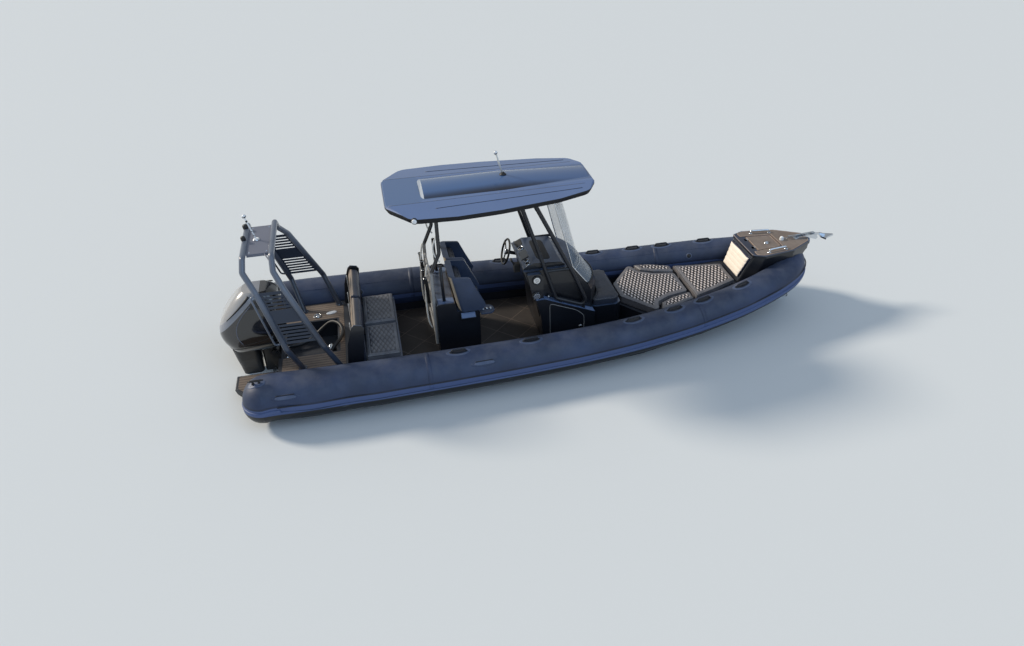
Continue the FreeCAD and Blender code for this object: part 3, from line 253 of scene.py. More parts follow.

# %% [markdown]
# ## Finishes
# Each finish is named for what it is on the boat. The tube is coated fabric: matt, dark slate, with a fine weave under
# the coat, a faint mottle where salt has dried, and a paler bloom in patches on what faces the sky, which is partly
# dust and partly painted sky light. Everything that is fixed in place is patterned by its position on the boat, so no
# unwrapping is needed. The colours of the tube and the strake change with the height above the tube's centreline,
# which climbs to the bow, so its shape is written down here. By that height the tube gets a band of painted shade along
# the welt, a painted sunlit flank under it and painted black shade underneath. The strake gets a painted sunlit
# upper face over a painted shaded lower one.

# %% The tube's shape
tube_half, tube_z, tube_run_x, tube_nose_x = 1.1555, 0.330, -3.180, 3.641
tube_r_stern, tube_r_bow, tube_power, sheer_x, sheer_up = 0.287, 0.209, 2.25, 0.120, 0.315


def above_middle(f):
    """How far a point of the tube lies above the tube's centreline, in metres."""
    x, y, z = f.xyz()
    climb = (x - sheer_x).most(0.0) / (tube_nose_x - sheer_x)
    return z - tube_z - climb * climb * sheer_up


# %% Coated fabric of the tube, and its rubber
def darker(color, share):
    """A colour at a share of its brightness."""
    return tuple(v * share for v in color[:3]) + (1.0,)


def mottled(finish, dark, light, scale):
    """Two shades of a colour, mixed in soft patches."""
    return finish.mix(dark, light, finish.noise(scale, 4.0).step(0.35, 0.7))


def tube_fabric(name, dark, light, dust_and_sky_bloom, lit_flank, under):
    """Coated boat fabric: a plain weave at 1.1 mm, soft patches, a paler top of dust and painted sky light, painted
    shade along the welt over a painted sunlit flank, and painted shade underneath.
    """
    f = Finish(name)
    x, y, z = f.xyz()
    patches = mottled(f, dark, light, 2.3)
    # Partly dust and partly painted sky light: a paler bloom in patches on faces that look up.
    dust_and_painted_light = f.mix(patches, dust_and_sky_bloom, f.upward() * 0.30 * f.noise(6.0, 5.0).step(0.25, 0.75))
    pitch = 0.0022
    weave = (x.wave(pitch) * y.wave(pitch) + z.wave(pitch)) * 0.6
    wrinkle = f.noise(5.0, 3.0, vector=f.stretched(0.35, 1, 1))
    normal = f.bump(weave, 0.0004, 0.35, under=f.bump(wrinkle, 0.012, 0.25))
    rough = 0.46 + 0.14 * f.noise(9.0, 4.0)
    height = above_middle(f)
    line = height - 0.043 + (x - 0.2).most(0.0) * 0.0045
    # Painted shade: a darker band along the welt, in the crease above the strake.
    dust_and_painted_light = f.mix(dust_and_painted_light, darker(dark, 0.40), (1 - line.abs().step(0.004, 0.020)) * 0.6)
    # Painted sunlight: a pale blue flank between the welt and the strake.
    dust_and_painted_light = f.mix(dust_and_painted_light, lit_flank, 1 - (line + 0.045).abs().step(0.028, 0.033))
    # Painted shade: black on the tube's underside, below the strake.
    dust_and_painted_light = f.mix(dust_and_painted_light, under, 1 - height.step(-0.150, -0.135))
    return f.done(f.mix(dust_and_painted_light, srgb(150, 156, 162), f.noise(70.0, 6.0).step(0.72, 0.86) * 0.10), rough, normal)


def strake_rubber(name, upper, lower):
    """The strake's rubber: painted sunlight, blue grey, on the upper part of its face, and painted shade, black, on the
    lower part and under its lip.
    """
    f = Finish(name)
    scuff = f.noise(26.0, 6.0, vector=f.stretched(0.2, 1, 1)).step(0.60, 0.75)
    border = (f.xyz()[0] - 0.5).most(0.0) * -0.014 - 0.054
    # Painted light and shade: the lit colour above the border height and the shaded black below it.
    tone = f.mix(lower, upper, (above_middle(f) - border).step(-0.003, 0.003))
    stipple = f.noise(300.0, 2.0)
    return f.done(f.mix(tone, srgb(112, 122, 138), scuff * 0.3), 0.42 + 0.2 * scuff, f.bump(stipple, 0.0006, 0.4))


def rubber(name, dark, light, grain=0.0006):
    """Moulded rubber with a fine stipple and scuffs."""
    f = Finish(name)
    scuff = f.noise(30.0, 6.0, vector=f.stretched(0.3, 1, 1)).step(0.58, 0.75)
    stipple = f.noise(420.0, 2.0)
    return f.done(f.mix(mottled(f, dark, light, 5.0), srgb(104, 108, 112), scuff * 0.25), 0.5 + 0.2 * scuff,
                  f.bump(stipple, grain, 0.5))


# Painted sunlight: the pale blue of the tube's flank and of the strake's upper face.
painted_lit_flank = srgb(66, 84, 126)
finishes = {
    # The last two colours are the painted sunlit flank and the painted black shade under the tube.
    "tube_fabric": tube_fabric("tube fabric", srgb(33, 47, 74), srgb(42, 58, 90), srgb(102, 107, 120), painted_lit_flank,
                               srgb(14, 15, 18)),
    "strake_rubber": strake_rubber("strake rubber", painted_lit_flank, srgb(15, 18, 22)),
    "hose_rubber": rubber("hose rubber", srgb(20, 22, 27), srgb(30, 33, 39)),
    "patch_rubber": rubber("patch rubber", srgb(66, 80, 108), srgb(82, 94, 120)),
    "handle_rubber": rubber("handle rubber", srgb(22, 26, 36), srgb(32, 37, 49)),
}
print("fabric and rubber:", len(finishes))

# %% [markdown]
# ## Painted, moulded and metal finishes
# The frames are powder coated: a faint orange peel and chips of wear along the edges. A bevel of the shading normal
# would be one way to find edges, but it can't be baked, so the wear is a sparse noise instead. The mouldings have a
# satin gelcoat, the engine's cowl is gloss black under clear coat, and the fittings are polished stainless steel with
# a fine brushed grain.


# %% Paint, gelcoat, metal, plastic and glass
def paint(name, color, light, rough, coat=0.0, peel=0.0002, wear=0.12, painted_sky_light=None):
    """Sprayed paint with a slight orange peel, soft dirt and sparse scuffs. Painted sky light is a paler colour mixed
    in on level faces.
    """
    f = Finish(name)
    dirt = f.noise(3.0, 6.0).step(0.45, 0.8)
    scuff = f.noise(55.0, 8.0, 0.7).step(0.66, 0.78)
    tone = f.mix(f.mix(color, light, f.noise(1.7, 3.0)), srgb(128, 130, 134), scuff * wear)
    if painted_sky_light:
        # Painted sky light: faces that look up are mixed toward a paler colour.
        tone = f.mix(tone, painted_sky_light, f.upward() * 0.6)
    return f.done(tone, rough + 0.12 * dirt + 0.15 * scuff, f.bump(f.noise(260.0, 2.0), peel, 0.4), coat=coat)


def steel(name, color, rough):
    """Polished stainless steel with a faint grain along X."""
    f = Finish(name)
    lines = f.noise(180.0, 3.0, vector=f.stretched(0.08, 1, 1))
    tarnish = f.noise(22.0, 5.0).step(0.5, 0.8)
    return f.done(f.mix(color, srgb(150, 150, 148), tarnish * 0.3), rough + 0.14 * lines + 0.1 * tarnish,
                  f.bump(lines, 0.0002, 0.3), metallic=1.0)


def glass(name, tint):
    """Clear acrylic with a smoke tint: mostly see-through, with a glossy face."""
    f = Finish(name)
    shader = f.node("ShaderNodeBsdfPrincipled", {}, {"Base Color": tint, "Roughness": 0.05, "Alpha": 0.24,
                                                     "Specular IOR Level": 0.7})
    f.node("ShaderNodeOutputMaterial", {}, {"Surface": shader})
    return f.material


def roof_finish(name):
    """The roof: slate blue on top with a painted sheen that is paler aft in the middle, painted shade on its steep rim
    and on the barrel's sides, and a painted highlight on the barrel's aft face.
    """
    f = Finish(name)
    x, y, z = f.xyz()
    nx, ny, nz = f.facing()
    border = 0.280 - x * 0.05 + 0.047 * (1 - x.step(-1.47, -1.42))
    centre = 1 - (y.abs() - border).step(-0.004, 0.004)
    raised = z.step(2.2925, 2.2935)
    soft = f.noise(1.2, 3.0)
    # Painted sheen: the middle is paler aft and darker forward.
    painted_sheen_blue = f.mix(srgb(58, 78, 118), srgb(68, 98, 142), (0.55 - x * 0.35 + soft * 0.4).least(1.0).most(0.0))
    tone = f.mix(f.mix(srgb(80, 102, 144), srgb(94, 118, 162), soft), painted_sheen_blue, centre)
    # Painted shade on the steep sides of the raised barrel.
    tone = f.mix(tone, srgb(16, 19, 32), raised * ny.abs().step(0.22, 0.42))
    # Painted highlight: the barrel's aft face is nearly white, as if it caught the low sun.
    tone = f.mix(tone, srgb(176, 186, 198), raised * (0 - nx).step(0.20, 0.40))
    # Painted shade: faces steeper than the top, such as the rim, are nearly black.
    tone = f.mix(srgb(12, 14, 20), tone, nz.step(0.30, 0.60))
    dirt = f.noise(3.0, 6.0).step(0.45, 0.8)
    level = nz.step(0.80, 0.98).most(raised)
    return f.done(tone, 0.55 - 0.35 * level + 0.08 * dirt, f.bump(f.noise(260.0, 2.0), 0.0001, 0.3),
                  coat=level * (0.35 + centre * 0.4))


def cowl_finish(name):
    """The cowl: a pale cap, partly its paint and partly a painted sunlit highlight, over the painted shade of a recess,
    a grey facet under it, and a dark body aft of the glossy side.
    """
    f = Finish(name)
    x, y, z = f.xyz()
    slope = z - x * 0.874
    lit_cap = slope.step(4.418, 4.424)
    facet = slope.step(4.338, 4.344)
    curve = (z - 0.74) * (z - 0.74) * 1.76 - 3.903
    aft = (curve - x).step(0.0, 0.004)
    soft = f.noise(2.2, 3.0)
    tone = f.mix(srgb(13, 14, 17), f.mix(srgb(40, 38, 38), srgb(56, 52, 50), soft), aft)
    tone = f.mix(tone, f.mix(srgb(126, 129, 137), srgb(142, 144, 151), soft), facet)
    # The cap's pale grey is partly the cowl's paint and partly a painted sunlit highlight.
    tone = f.mix(tone, f.mix(srgb(150, 150, 152), srgb(174, 172, 170), soft), lit_cap)
    return f.done(tone, 0.10 + 0.14 * lit_cap.most(aft * 0.6), f.bump(f.noise(240.0, 2.0), 0.0001, 0.3), coat=1.0)


def sunlit_rear_finish(name):
    """The frame behind the seats: painted sunlight, pale grey, below its bend, and black above it."""
    f = Finish(name)
    x, y, z = f.xyz()
    light = f.mix(srgb(134, 135, 136), srgb(152, 151, 148), f.noise(3.0, 3.0))
    # Painted sunlight: the frame is pale below its bend.
    tone = f.mix(light, srgb(24, 27, 33), z.step(1.32, 1.37))
    return f.done(tone, 0.26, f.bump(f.noise(260.0, 2.0), 0.0002, 0.4), coat=0.3)


def arch_finish(name):
    """The stern arch: slate, and paler toward its top as painted sky light."""
    f = Finish(name)
    x, y, z = f.xyz()
    # Painted sky light: the arch turns paler above a metre.
    tone = f.mix(mottled(f, srgb(46, 55, 70), srgb(56, 66, 82), 3.0), srgb(98, 106, 120), z.step(1.0, 1.55))
    scuff = f.noise(55.0, 8.0, 0.7).step(0.66, 0.78)
    return f.done(tone, 0.30 + 0.15 * scuff, f.bump(f.noise(260.0, 2.0), 0.0004, 0.4), coat=0.3)


def foam_lines(name, dark, light, line):
    """Foam with narrow light lines in a net of large diamonds."""
    f = Finish(name)
    x, y, z = f.xyz()
    nets = ((x + y + 0.07).wave(0.5)).least((x - y + 0.07).wave(0.5))
    nap = f.noise(240.0, 3.0)
    tone = f.mix(mottled(f, dark, light, 3.0), line, 1 - nets.step(0.005, 0.011))
    return f.done(tone, 0.74, f.bump(nap * 0.12 + nets.step(0.005, 0.011), 0.0012, 0.6))


finishes.update({
    # The hull and the mouldings get painted sky light on faces that look up.
    "hull_paint": paint("hull paint", srgb(22, 26, 34), srgb(30, 34, 42), 0.42, painted_sky_light=srgb(62, 64, 70)),
    "moulding": paint("satin moulding", srgb(17, 19, 24), srgb(24, 27, 34), 0.30, coat=0.3, painted_sky_light=srgb(74, 90, 118)),
    "frame_paint": paint("powder coat", srgb(20, 23, 29), srgb(30, 34, 42), 0.38, peel=0.0004),
    "arch_paint": arch_finish("arch powder coat"),
    "plate_grey": paint("grey plate", srgb(100, 104, 118), srgb(116, 118, 131), 0.40),
    "roof_paint": roof_finish("roof paint"),
    "engine_paint": paint("engine paint", srgb(22, 23, 26), srgb(30, 31, 34), 0.36, coat=0.2),
    "plate_slate": paint("side plate paint", srgb(36, 45, 60), srgb(46, 56, 72), 0.42, peel=0.0004),
    "rear_paint": sunlit_rear_finish("rear frame paint"),
    "cowl_gloss": cowl_finish("cowl gloss"),
    "black_plastic": rubber("black plastic", srgb(20, 21, 24), srgb(30, 31, 34), 0.0004),
    "wheel_rubber": rubber("wheel grip", srgb(16, 17, 19), srgb(24, 25, 28), 0.0008),
    "bright_metal": steel("polished steel", srgb(212, 216, 221), 0.12),
    "lamp_plastic": paint("lamp housing", srgb(226, 228, 230), srgb(236, 238, 240), 0.25, wear=0.02),
    # Painted sky light: a pale blue grey for thin sheets laid on level faces of the dark console and leaning post.
    "ledge_paint": paint("sky grey ledge", srgb(82, 102, 138), srgb(96, 116, 150), 0.40, wear=0.05),
    "foam_edge": rubber("foam edge", srgb(168, 144, 126), srgb(188, 164, 146), 0.0003),
    "rail_white": paint("white rail", srgb(206, 204, 198), srgb(222, 220, 214), 0.20, coat=0.5, wear=0.03),
    "moulding_edge": paint("moulded edge", srgb(92, 96, 110), srgb(108, 112, 124), 0.30, wear=0.1),
    "band_navy": paint("navy band", srgb(36, 42, 58), srgb(46, 52, 70), 0.35, wear=0.08),
    "display": paint("display glass", srgb(10, 12, 16), srgb(14, 17, 22), 0.06, coat=1.0, wear=0.0),
    "dial": paint("dial face", srgb(14, 15, 18), srgb(22, 23, 27), 0.25, wear=0.0),
    "clear_glass": glass("clear screen", (0.30, 0.36, 0.42, 1.0)),
})
print("finishes:", len(finishes))

# %% [markdown]
# ## Foam deck
# The decks and the sole are covered with ribbed EVA foam: narrow planks along the boat with dark grooves between them,
# and a brushed nap on the planks. The grooves are dark bands at a fixed pitch across Y, cut a little with a bump.


# %% Ribbed deck foam
def deck_foam(name, dark, light, groove, pitch, groove_share):
    """EVA foam in planks along X, pitch apart, with dark grooves."""
    f = Finish(name)
    x, y, z = f.xyz()
    line = y.wave(pitch).step(groove_share * 0.5, groove_share * 0.5 + 0.06)
    nap = f.noise(240.0, 3.0, vector=f.stretched(0.25, 1, 1))
    tone = f.mix(mottled(f, dark, light, 3.0), srgb(70, 66, 62), f.noise(14.0, 6.0).step(0.6, 0.8) * 0.25)
    return f.done(f.mix(groove, tone, line), 0.72, f.bump(line * 0.8 + nap * 0.12, 0.0025, 0.7))


finishes["deck_foam"] = deck_foam("deck foam", srgb(104, 92, 83), srgb(126, 112, 101), srgb(40, 36, 35), 0.052, 0.09)
finishes["lid_foam"] = deck_foam("lid foam", srgb(118, 106, 98), srgb(134, 122, 113), srgb(76, 66, 62), 0.034, 0.10)
finishes["sole_foam"] = foam_lines("sole foam", srgb(46, 41, 39), srgb(57, 51, 48), srgb(104, 92, 84))
print("foam planks 52 mm apart")
# %% [markdown]
# ## Stuffed cushions
# The bench, the helm seats, the seat before the console and the whole bow lounge are vinyl covers over foam. A plain
# CAD block looks hard, so each block is filled the way a cushion is. It is cut into even cells, made a little smaller,
# and blown up with the pressure of Blender's cloth solver, with gravity off. The faces crown, the edges round over and
# the sides pull in between the corners. No point may swell further than a set amount, and the side that rests on the
# boat stays flat. All the cushions are blown up together, in one run of twenty frames.

# %% Split a CAD node into its solids
def solids_of(node_name):
    """The separate solids of a CAD node, as (points, faces)."""
    whole = bmesh.new()
    whole.from_mesh(nodes[node_name].data)
    bmesh.ops.remove_doubles(whole, verts=whole.verts, dist=1e-5)
    whole.verts.ensure_lookup_table()
    owner = {}
    for seed in whole.verts:
        if seed in owner:
            continue
        owner[seed] = seed.index
        waiting = [seed]
        while waiting:
            for edge in waiting.pop().link_edges:
                for other in edge.verts:
                    if other not in owner:
                        owner[other] = seed.index
                        waiting.append(other)
    found = []
    for key in sorted(set(owner.values())):
        inside = [v for v in whole.verts if owner[v] == key]
        number = {v: k for k, v in enumerate(inside)}
        faces = [tuple(number[v] for v in face.verts) for face in whole.faces if face.verts[0] in number]
        found.append((np.array([v.co[:] for v in inside]), faces))
    whole.free()
    return found


def linked(name, mesh):
    made = bpy.data.objects.new(name, mesh)
    bpy.context.scene.collection.objects.link(made)
    return made


def baked(work, name):
    """The evaluated mesh of an object, which is then removed."""
    mesh = bpy.data.meshes.new_from_object(work.evaluated_get(bpy.context.evaluated_depsgraph_get()))
    mesh.name = name
    bpy.data.objects.remove(work)
    return mesh


def rows_of(items, name):
    """Three numbers of each item, as an array."""
    flat = np.empty(len(items) * 3)
    items.foreach_get(name, flat)
    return flat.reshape(-1, 3)


def points_of(mesh):
    return rows_of(mesh.vertices, "co")


def normals_of(mesh):
    return rows_of(mesh.vertex_normals, "vector")


def set_points(mesh, places):
    mesh.vertices.foreach_set("co", np.ascontiguousarray(places, dtype=np.float32).ravel())
    mesh.update()


# %% [markdown]
# Each row names the CAD node, the cell size, how far it may swell, and the direction in which it rests on the boat.

# %% Blow up all the cushions together
cushion_rows = [
    ("bench_cushions", 0.0130, 0.016, DOWN),
    ("bench_backrests", 0.0150, 0.018, DOWN),
    ("seat_pads", 0.0120, 0.016, DOWN),
    ("seat_backs", 0.0120, 0.016, AFT),
    ("front_seat_cushion", 0.0130, 0.018, DOWN),
    ("lounge_pad_aft", 0.0120, 0.016, DOWN),
    ("lounge_pads_side", 0.0120, 0.016, DOWN),
    ("lounge_pad_bow", 0.0120, 0.016, DOWN),
    ("bow_pad", 0.0100, 0.010, (1, 0, -0.4125)),
]
works = []
for node_name, cell, swell, rest in cushion_rows:
    for points, faces in solids_of(node_name):
        mesh = bpy.data.meshes.new(node_name)
        mesh.from_pydata(points.tolist(), [], faces)
        block = linked("block", mesh)
        cells = block.modifiers.new("cells", "REMESH")
        cells.mode, cells.voxel_size, cells.use_smooth_shade = "VOXEL", cell, True
        even = baked(block, node_name)
        soft = bmesh.new()
        soft.from_mesh(even)
        for _ in range(4):
            bmesh.ops.smooth_vert(soft, verts=soft.verts, factor=0.5, use_axis_x=True, use_axis_y=True, use_axis_z=True)
        soft.to_mesh(even)
        soft.free()
        set_points(even, points_of(even) - normals_of(even) * swell * 0.55)
        work = linked(node_name + "_work", even)
        cloth = work.modifiers.new("filling", "CLOTH")
        cloth.settings.quality = 4
        cloth.settings.mass = 0.35
        cloth.settings.tension_stiffness = cloth.settings.compression_stiffness = 12
        cloth.settings.use_pressure = True
        cloth.settings.uniform_pressure_force = 4.0
        cloth.settings.effector_weights.gravity = 0.0
        cloth.collision_settings.use_collision = False
        cloth.point_cache.frame_start, cloth.point_cache.frame_end = 1, 20
        rest_way = np.array(rest) / np.linalg.norm(rest)
        works.append((node_name, work, points_of(even).copy(), swell, rest_way, points, faces))
for frame_number in range(1, 21):
    bpy.context.scene.frame_set(frame_number)
stuffed = []
for node_name, work, start, swell, rest, block, block_faces in works:
    mesh = baked(work, node_name)
    move = points_of(mesh) - start
    far = np.linalg.norm(move, axis=1, keepdims=True) + 1e-9
    filled = start + move * (swell * np.tanh(far / swell) / far)
    resting = np.clip((normals_of(mesh) @ rest - 0.25) / 0.3, 0, 1)
    middle = block.mean(axis=0)
    filled -= np.outer(resting * ((filled - middle) @ rest - ((block - middle) @ rest).max()), rest)
    set_points(mesh, filled)
    stuffed.append((node_name, mesh, block, block_faces))
    print(node_name, len(mesh.vertices), "points, swelled", round(float(far.mean()) * 1000, 1), "mm")
bpy.context.scene.frame_set(1)

# %% [markdown]
# ## Quilting
# The lounge pads have a plain border and a centre sewn in small diamonds, which stand out as rows of bright points in
# low sun. The same quilting is on the seats. The padded face of the bow locker is sewn in level channels instead. The
# remesh would wipe out any seam, so the quilting comes after it: the mesh is subdivided once and its points are moved
# along their normals by a rule of their place. Diamonds come from two families of slanting lines, and the puff
# between them is the product of two sine waves. Some pads have hollow corners, so the border is measured from the
# pad's true outline: the edge of all its faces that look the way of the quilted side.

# %% The outline of a pad, and how far inside it a point lies
def in_plane(points, facing):
    """The two coordinates of points across the axis that a face looks along."""
    return points[:, [k for k in range(3) if facing[k] == 0]]


def outline_of(points, faces, facing):
    """The outline of a solid as seen against the way it faces, counter-clockwise and evenly spaced."""
    ahead = {}
    for face in faces:
        a, b, c = (points[face[k]] for k in (0, 1, 2))
        normal = np.cross(b - a, c - a)
        if normal @ np.array(facing, float) > 1e-3 * np.linalg.norm(normal):
            for k in range(len(face)):
                ahead[(face[k], face[(k + 1) % len(face)])] = True
    edge = {a: b for a, b in ahead if (b, a) not in ahead}
    loops = []
    while edge:
        first = next(iter(edge))
        loop = [first]
        while loop[-1] in edge:
            loop.append(edge.pop(loop[-1]))
        loops.append(loop[:-1])
    flat = in_plane(points[max(loops, key=len)], facing)
    return even_loop(flat, 0.010)


def even_loop(flat, step):
    """A closed path resampled at even steps, counter-clockwise."""
    closed = np.vstack([flat, flat[:1]])
    if np.sum(closed[:-1, 0] * closed[1:, 1] - closed[1:, 0] * closed[:-1, 1]) < 0:
        closed = closed[::-1]
    run = np.concatenate([[0], np.cumsum(np.linalg.norm(np.diff(closed, axis=0), axis=1))])
    spots = np.linspace(0, run[-1], int(run[-1] / step) + 1)[:-1]
    return np.stack([np.interp(spots, run, closed[:, k]) for k in range(2)], axis=1)


def depth_inside(flat, outline):
    """How far points of a plane lie inside an outline, less than 0 outside it."""
    nearest, crossings = np.full(len(flat), 1e9), np.zeros(len(flat), int)
    for a, b in zip(outline, np.roll(outline, -1, axis=0)):
        along = b - a
        share = np.clip(((flat - a) @ along) / (along @ along), 0, 1)
        nearest = np.minimum(nearest, np.linalg.norm(flat - a - share[:, None] * along, axis=1))
        straddles = (a[1] > flat[:, 1]) != (b[1] > flat[:, 1])
        crossings += straddles & (flat[:, 0] < a[0] + (flat[:, 1] - a[1]) * along[0] / (along[1] or 1e-12))
    return np.where(crossings % 2 == 1, nearest, -nearest)


# %% Puffs and channels
def smooth_step(value, low, high):
    t = np.clip((value - low) / (high - low), 0, 1)
    return t * t * (3 - 2 * t)


diamond_lean = 0.44


def diamonds(u, v, pitch):
    """1 at the middle of each diamond and 0 on its sewn sides."""
    a, b = (u + diamond_lean * v) / pitch * math.pi, (u - diamond_lean * v) / pitch * math.pi
    return np.abs(np.sin(a) * np.sin(b)) ** 0.6


def channels(u, pitch):
    return np.sqrt(np.abs(np.sin(u / pitch * math.pi)))


def attribute(mesh, name, values):
    """Keep one number for each point of a mesh, for its finish to read."""
    layer = mesh.attributes.new(name, "FLOAT", "POINT")
    layer.data.foreach_set("value", np.ascontiguousarray(values, dtype=np.float32))


# %% [markdown]
# Each row gives the CAD node, the axis that the quilted face looks along (+ or -), the width of the plain border, the
# pitch and height of the puffs, and their kind. Three numbers are kept with each point for the vinyl: how far it stands
# out of its seam, whether it lies in the quilted centre, and how much it looks aft.

# %% Sew the quilting
quilt_rows = {
    "bench_cushions": (UP, 0.070, 0.060, 0.0055, "diamond"),
    "bench_backrests": (FORWARD, 0.085, 0.060, 0.0050, "diamond"),
    "seat_pads": (UP, 0.060, 0.055, 0.0050, "diamond"),
    "seat_backs": (FORWARD, 0.060, 0.055, 0.0050, "diamond"),
    "front_seat_cushion": (UP, 0.200, 9.0, 0.0, "plain"),
    "lounge_pad_aft": (UP, 0.078, 0.050, 0.0080, "diamond"),
    "lounge_pads_side": (UP, 0.060, 0.050, 0.0080, "diamond"),
    "lounge_pad_bow": (UP, 0.078, 0.050, 0.0080, "diamond"),
    "bow_pad": (AFT, 0.016, 0.060, 0.0035, "channel"),
}
cushions = {}
for node_name, mesh, block, block_faces in stuffed:
    facing, border, pitch, height, kind = quilt_rows[node_name]
    work = linked("work", mesh)
    work.modifiers.new("finer", "SUBSURF").levels = 1
    finer = baked(work, node_name)
    places, facings = points_of(finer), normals_of(finer)
    flat = in_plane(places, facing)
    outline = outline_of(block, block_faces, facing)
    inside = depth_inside(flat, outline)
    face = smooth_step(facings @ np.array(facing, float), 0.55, 0.9)
    if kind == "diamond":
        puff = diamonds(flat[:, 0], flat[:, 1], pitch)
    elif kind == "channel":
        puff = channels(flat[:, 1] - outline[:, 1].min(), pitch)
    else:
        puff = np.zeros(len(flat))
    quilted = face * smooth_step(inside, border - 0.005, border + 0.005)
    seam = face * np.exp(-((inside - border) / 0.006) ** 2) * (0.004 if height and kind != "channel" else 0.0)
    moved = places + facings * (quilted * (puff - 0.75) * height - seam)[:, None]
    set_points(finer, moved)
    finer.shade_smooth()
    attribute(finer, "puff", 1 + quilted * (puff - 1) - seam / 0.008)
    attribute(finer, "sewn", quilted)
    # How much a point looks aft, and on the bench back also up: there the vinyl lays its rear colour, partly painted
    # sunlight.
    upper = 0.75 * facings[:, 2] if node_name == "bench_backrests" else 0
    attribute(finer, "rear", smooth_step(upper - facings[:, 0], 0.50, 0.75))
    cushions.setdefault(node_name, []).append((finer, block, outline, facing))
print("quilted", len(stuffed), "cushions")
# %% [markdown]
# ## Vinyl
# The covers are coated vinyl: a fine leather grain of small cells, soft wrinkles and a satin sheen. The lounge is
# charcoal, with painted highlights on the crowns of its quilted diamonds and painted shade in their valleys. On most
# other covers, painted shade darkens the seams and the quilted valleys. The padded face of the locker is cream and
# the bench back is cream behind and black in front. The pale colour on these faces that look aft is partly the
# cover's own and partly painted sunlight. Cells of a Voronoi texture make the grain, because leather grain is a net of
# small rounded islands.

# %% Vinyl finishes
def vinyl(name, dark, light, seam=0.45, rear=None, crown_highlight=None):
    """Coated vinyl with leather grain and soft wrinkles. Painted shade darkens its seams and quilted valleys, and it
    may have another colour on faces that look aft, partly its own and partly painted sunlight. A crown is the painted
    highlight on the small quilted diamonds of the lounge, whose valleys are painted nearly black as shade."""
    f = Finish(name)
    grain = f.leather()
    wrinkle = f.noise(9.0, 4.0, distortion=0.6)
    worn = f.noise(5.0, 5.0).step(0.5, 0.8)
    tone = f.mix(mottled(f, dark, light, 4.0), light, worn * 0.35)
    # Faces that look aft, and the top of the bench back, take another colour: partly the cover's own, partly painted
    # sunlight.
    if rear:
        tone = f.mix(tone, rear, f.node("ShaderNodeAttribute", {"attribute_name": "rear"}, output=2))
    if crown_highlight:
        # Painted highlight on the crowns of the quilted diamonds, and painted shade, nearly black, in their valleys.
        x, y, z = f.xyz()
        sewn = f.node("ShaderNodeAttribute", {"attribute_name": "sewn"}, output=2)
        height = (x + y * diamond_lean).wave(0.050) * (x - y * diamond_lean).wave(0.050) * 4
        tone = f.mix(tone, f.mix(srgb(34, 33, 38), crown_highlight, height.step(0.22, 0.42)), sewn)
    puff = f.node("ShaderNodeAttribute", {"attribute_name": "puff"}, output=2)
    # Painted shade: darker where the cover dips into its seams and quilted valleys.
    tone = f.mix(tone, darker(dark, 0.16), (1 - puff.step(0.0, 0.85)) * seam)
    return f.done(tone, 0.42 + 0.10 * worn - 0.05 * grain,
                  f.bump(grain, 0.0004, 0.45, under=f.bump(wrinkle, 0.006, 0.22)))


def shell_finish(name):
    """The hard seat shells: slate in front and at the sides, cream behind, partly their own colour and partly painted
    sunlight.
    """
    f = Finish(name)
    nx, ny, nz = f.facing()
    # Faces that look aft are cream: partly the shell's colour and partly painted sunlight.
    tone = f.mix(mottled(f, srgb(44, 57, 80), srgb(56, 71, 98), 3.0), srgb(188, 172, 148), (0 - nx).step(0.45, 0.75))
    return f.done(tone, 0.38, f.bump(f.leather(), 0.0004, 0.4))


# The lounge's crown colour is a painted highlight. The rear colours of the bench and the locker's pad are partly the
# covers' own and partly painted sunlight.
finishes["upholstery"] = vinyl("charcoal vinyl", srgb(92, 94, 102), srgb(112, 113, 119), seam=0.7)
finishes["lounge_vinyl"] = vinyl("lounge vinyl", srgb(98, 97, 101), srgb(116, 113, 115), seam=0.0,
                                 crown_highlight=srgb(212, 201, 196))
finishes["dark_vinyl"] = vinyl("dark vinyl", srgb(36, 41, 52), srgb(48, 54, 68))
finishes["bench_vinyl"] = vinyl("bench vinyl", srgb(40, 46, 60), srgb(54, 60, 76), rear=srgb(160, 145, 130))
finishes["cream_vinyl"] = vinyl("cream vinyl", srgb(46, 50, 68), srgb(58, 62, 82), seam=0.0, rear=srgb(250, 238, 222))
finishes["shell_vinyl"] = shell_finish("shell vinyl")
finishes["thread"] = rubber("thread", srgb(150, 150, 152), srgb(176, 176, 178), 0.0002)
finishes["piping"] = rubber("vinyl piping", srgb(50, 53, 60), srgb(66, 69, 76), 0.0003)
print("finishes with vinyl:", len(finishes))

# %% [markdown]
# ## Piping and stitches
# A cord in a vinyl sleeve is sewn into the long edges of each cushion, and a row of stitches runs inside the border.
# The edge of a stuffed cushion isn't where the block's edge was, so the path starts as the block's outline and each of
# its points is dropped onto the stuffed surface. Piping is a tube round that path. The stitches are a Geometry Nodes
# tree: it resamples the path at the pitch of the stitches, puts a small rounded bead at each point, turned along the
# path, and joins them. The same tree later places bolts and screws.

# %% Tubes, and beads along a path
def sleeve(rows, count, first=0, closed=False):
    """Faces that join rows of points, from the point first on. Each row is a ring of count points."""
    starts = [first + k * count for k in range(rows)] + [first] * closed
    return [(a + k, a + (k + 1) % count, b + (k + 1) % count, b + k)
            for a, b in zip(starts, starts[1:]) for k in range(count)]


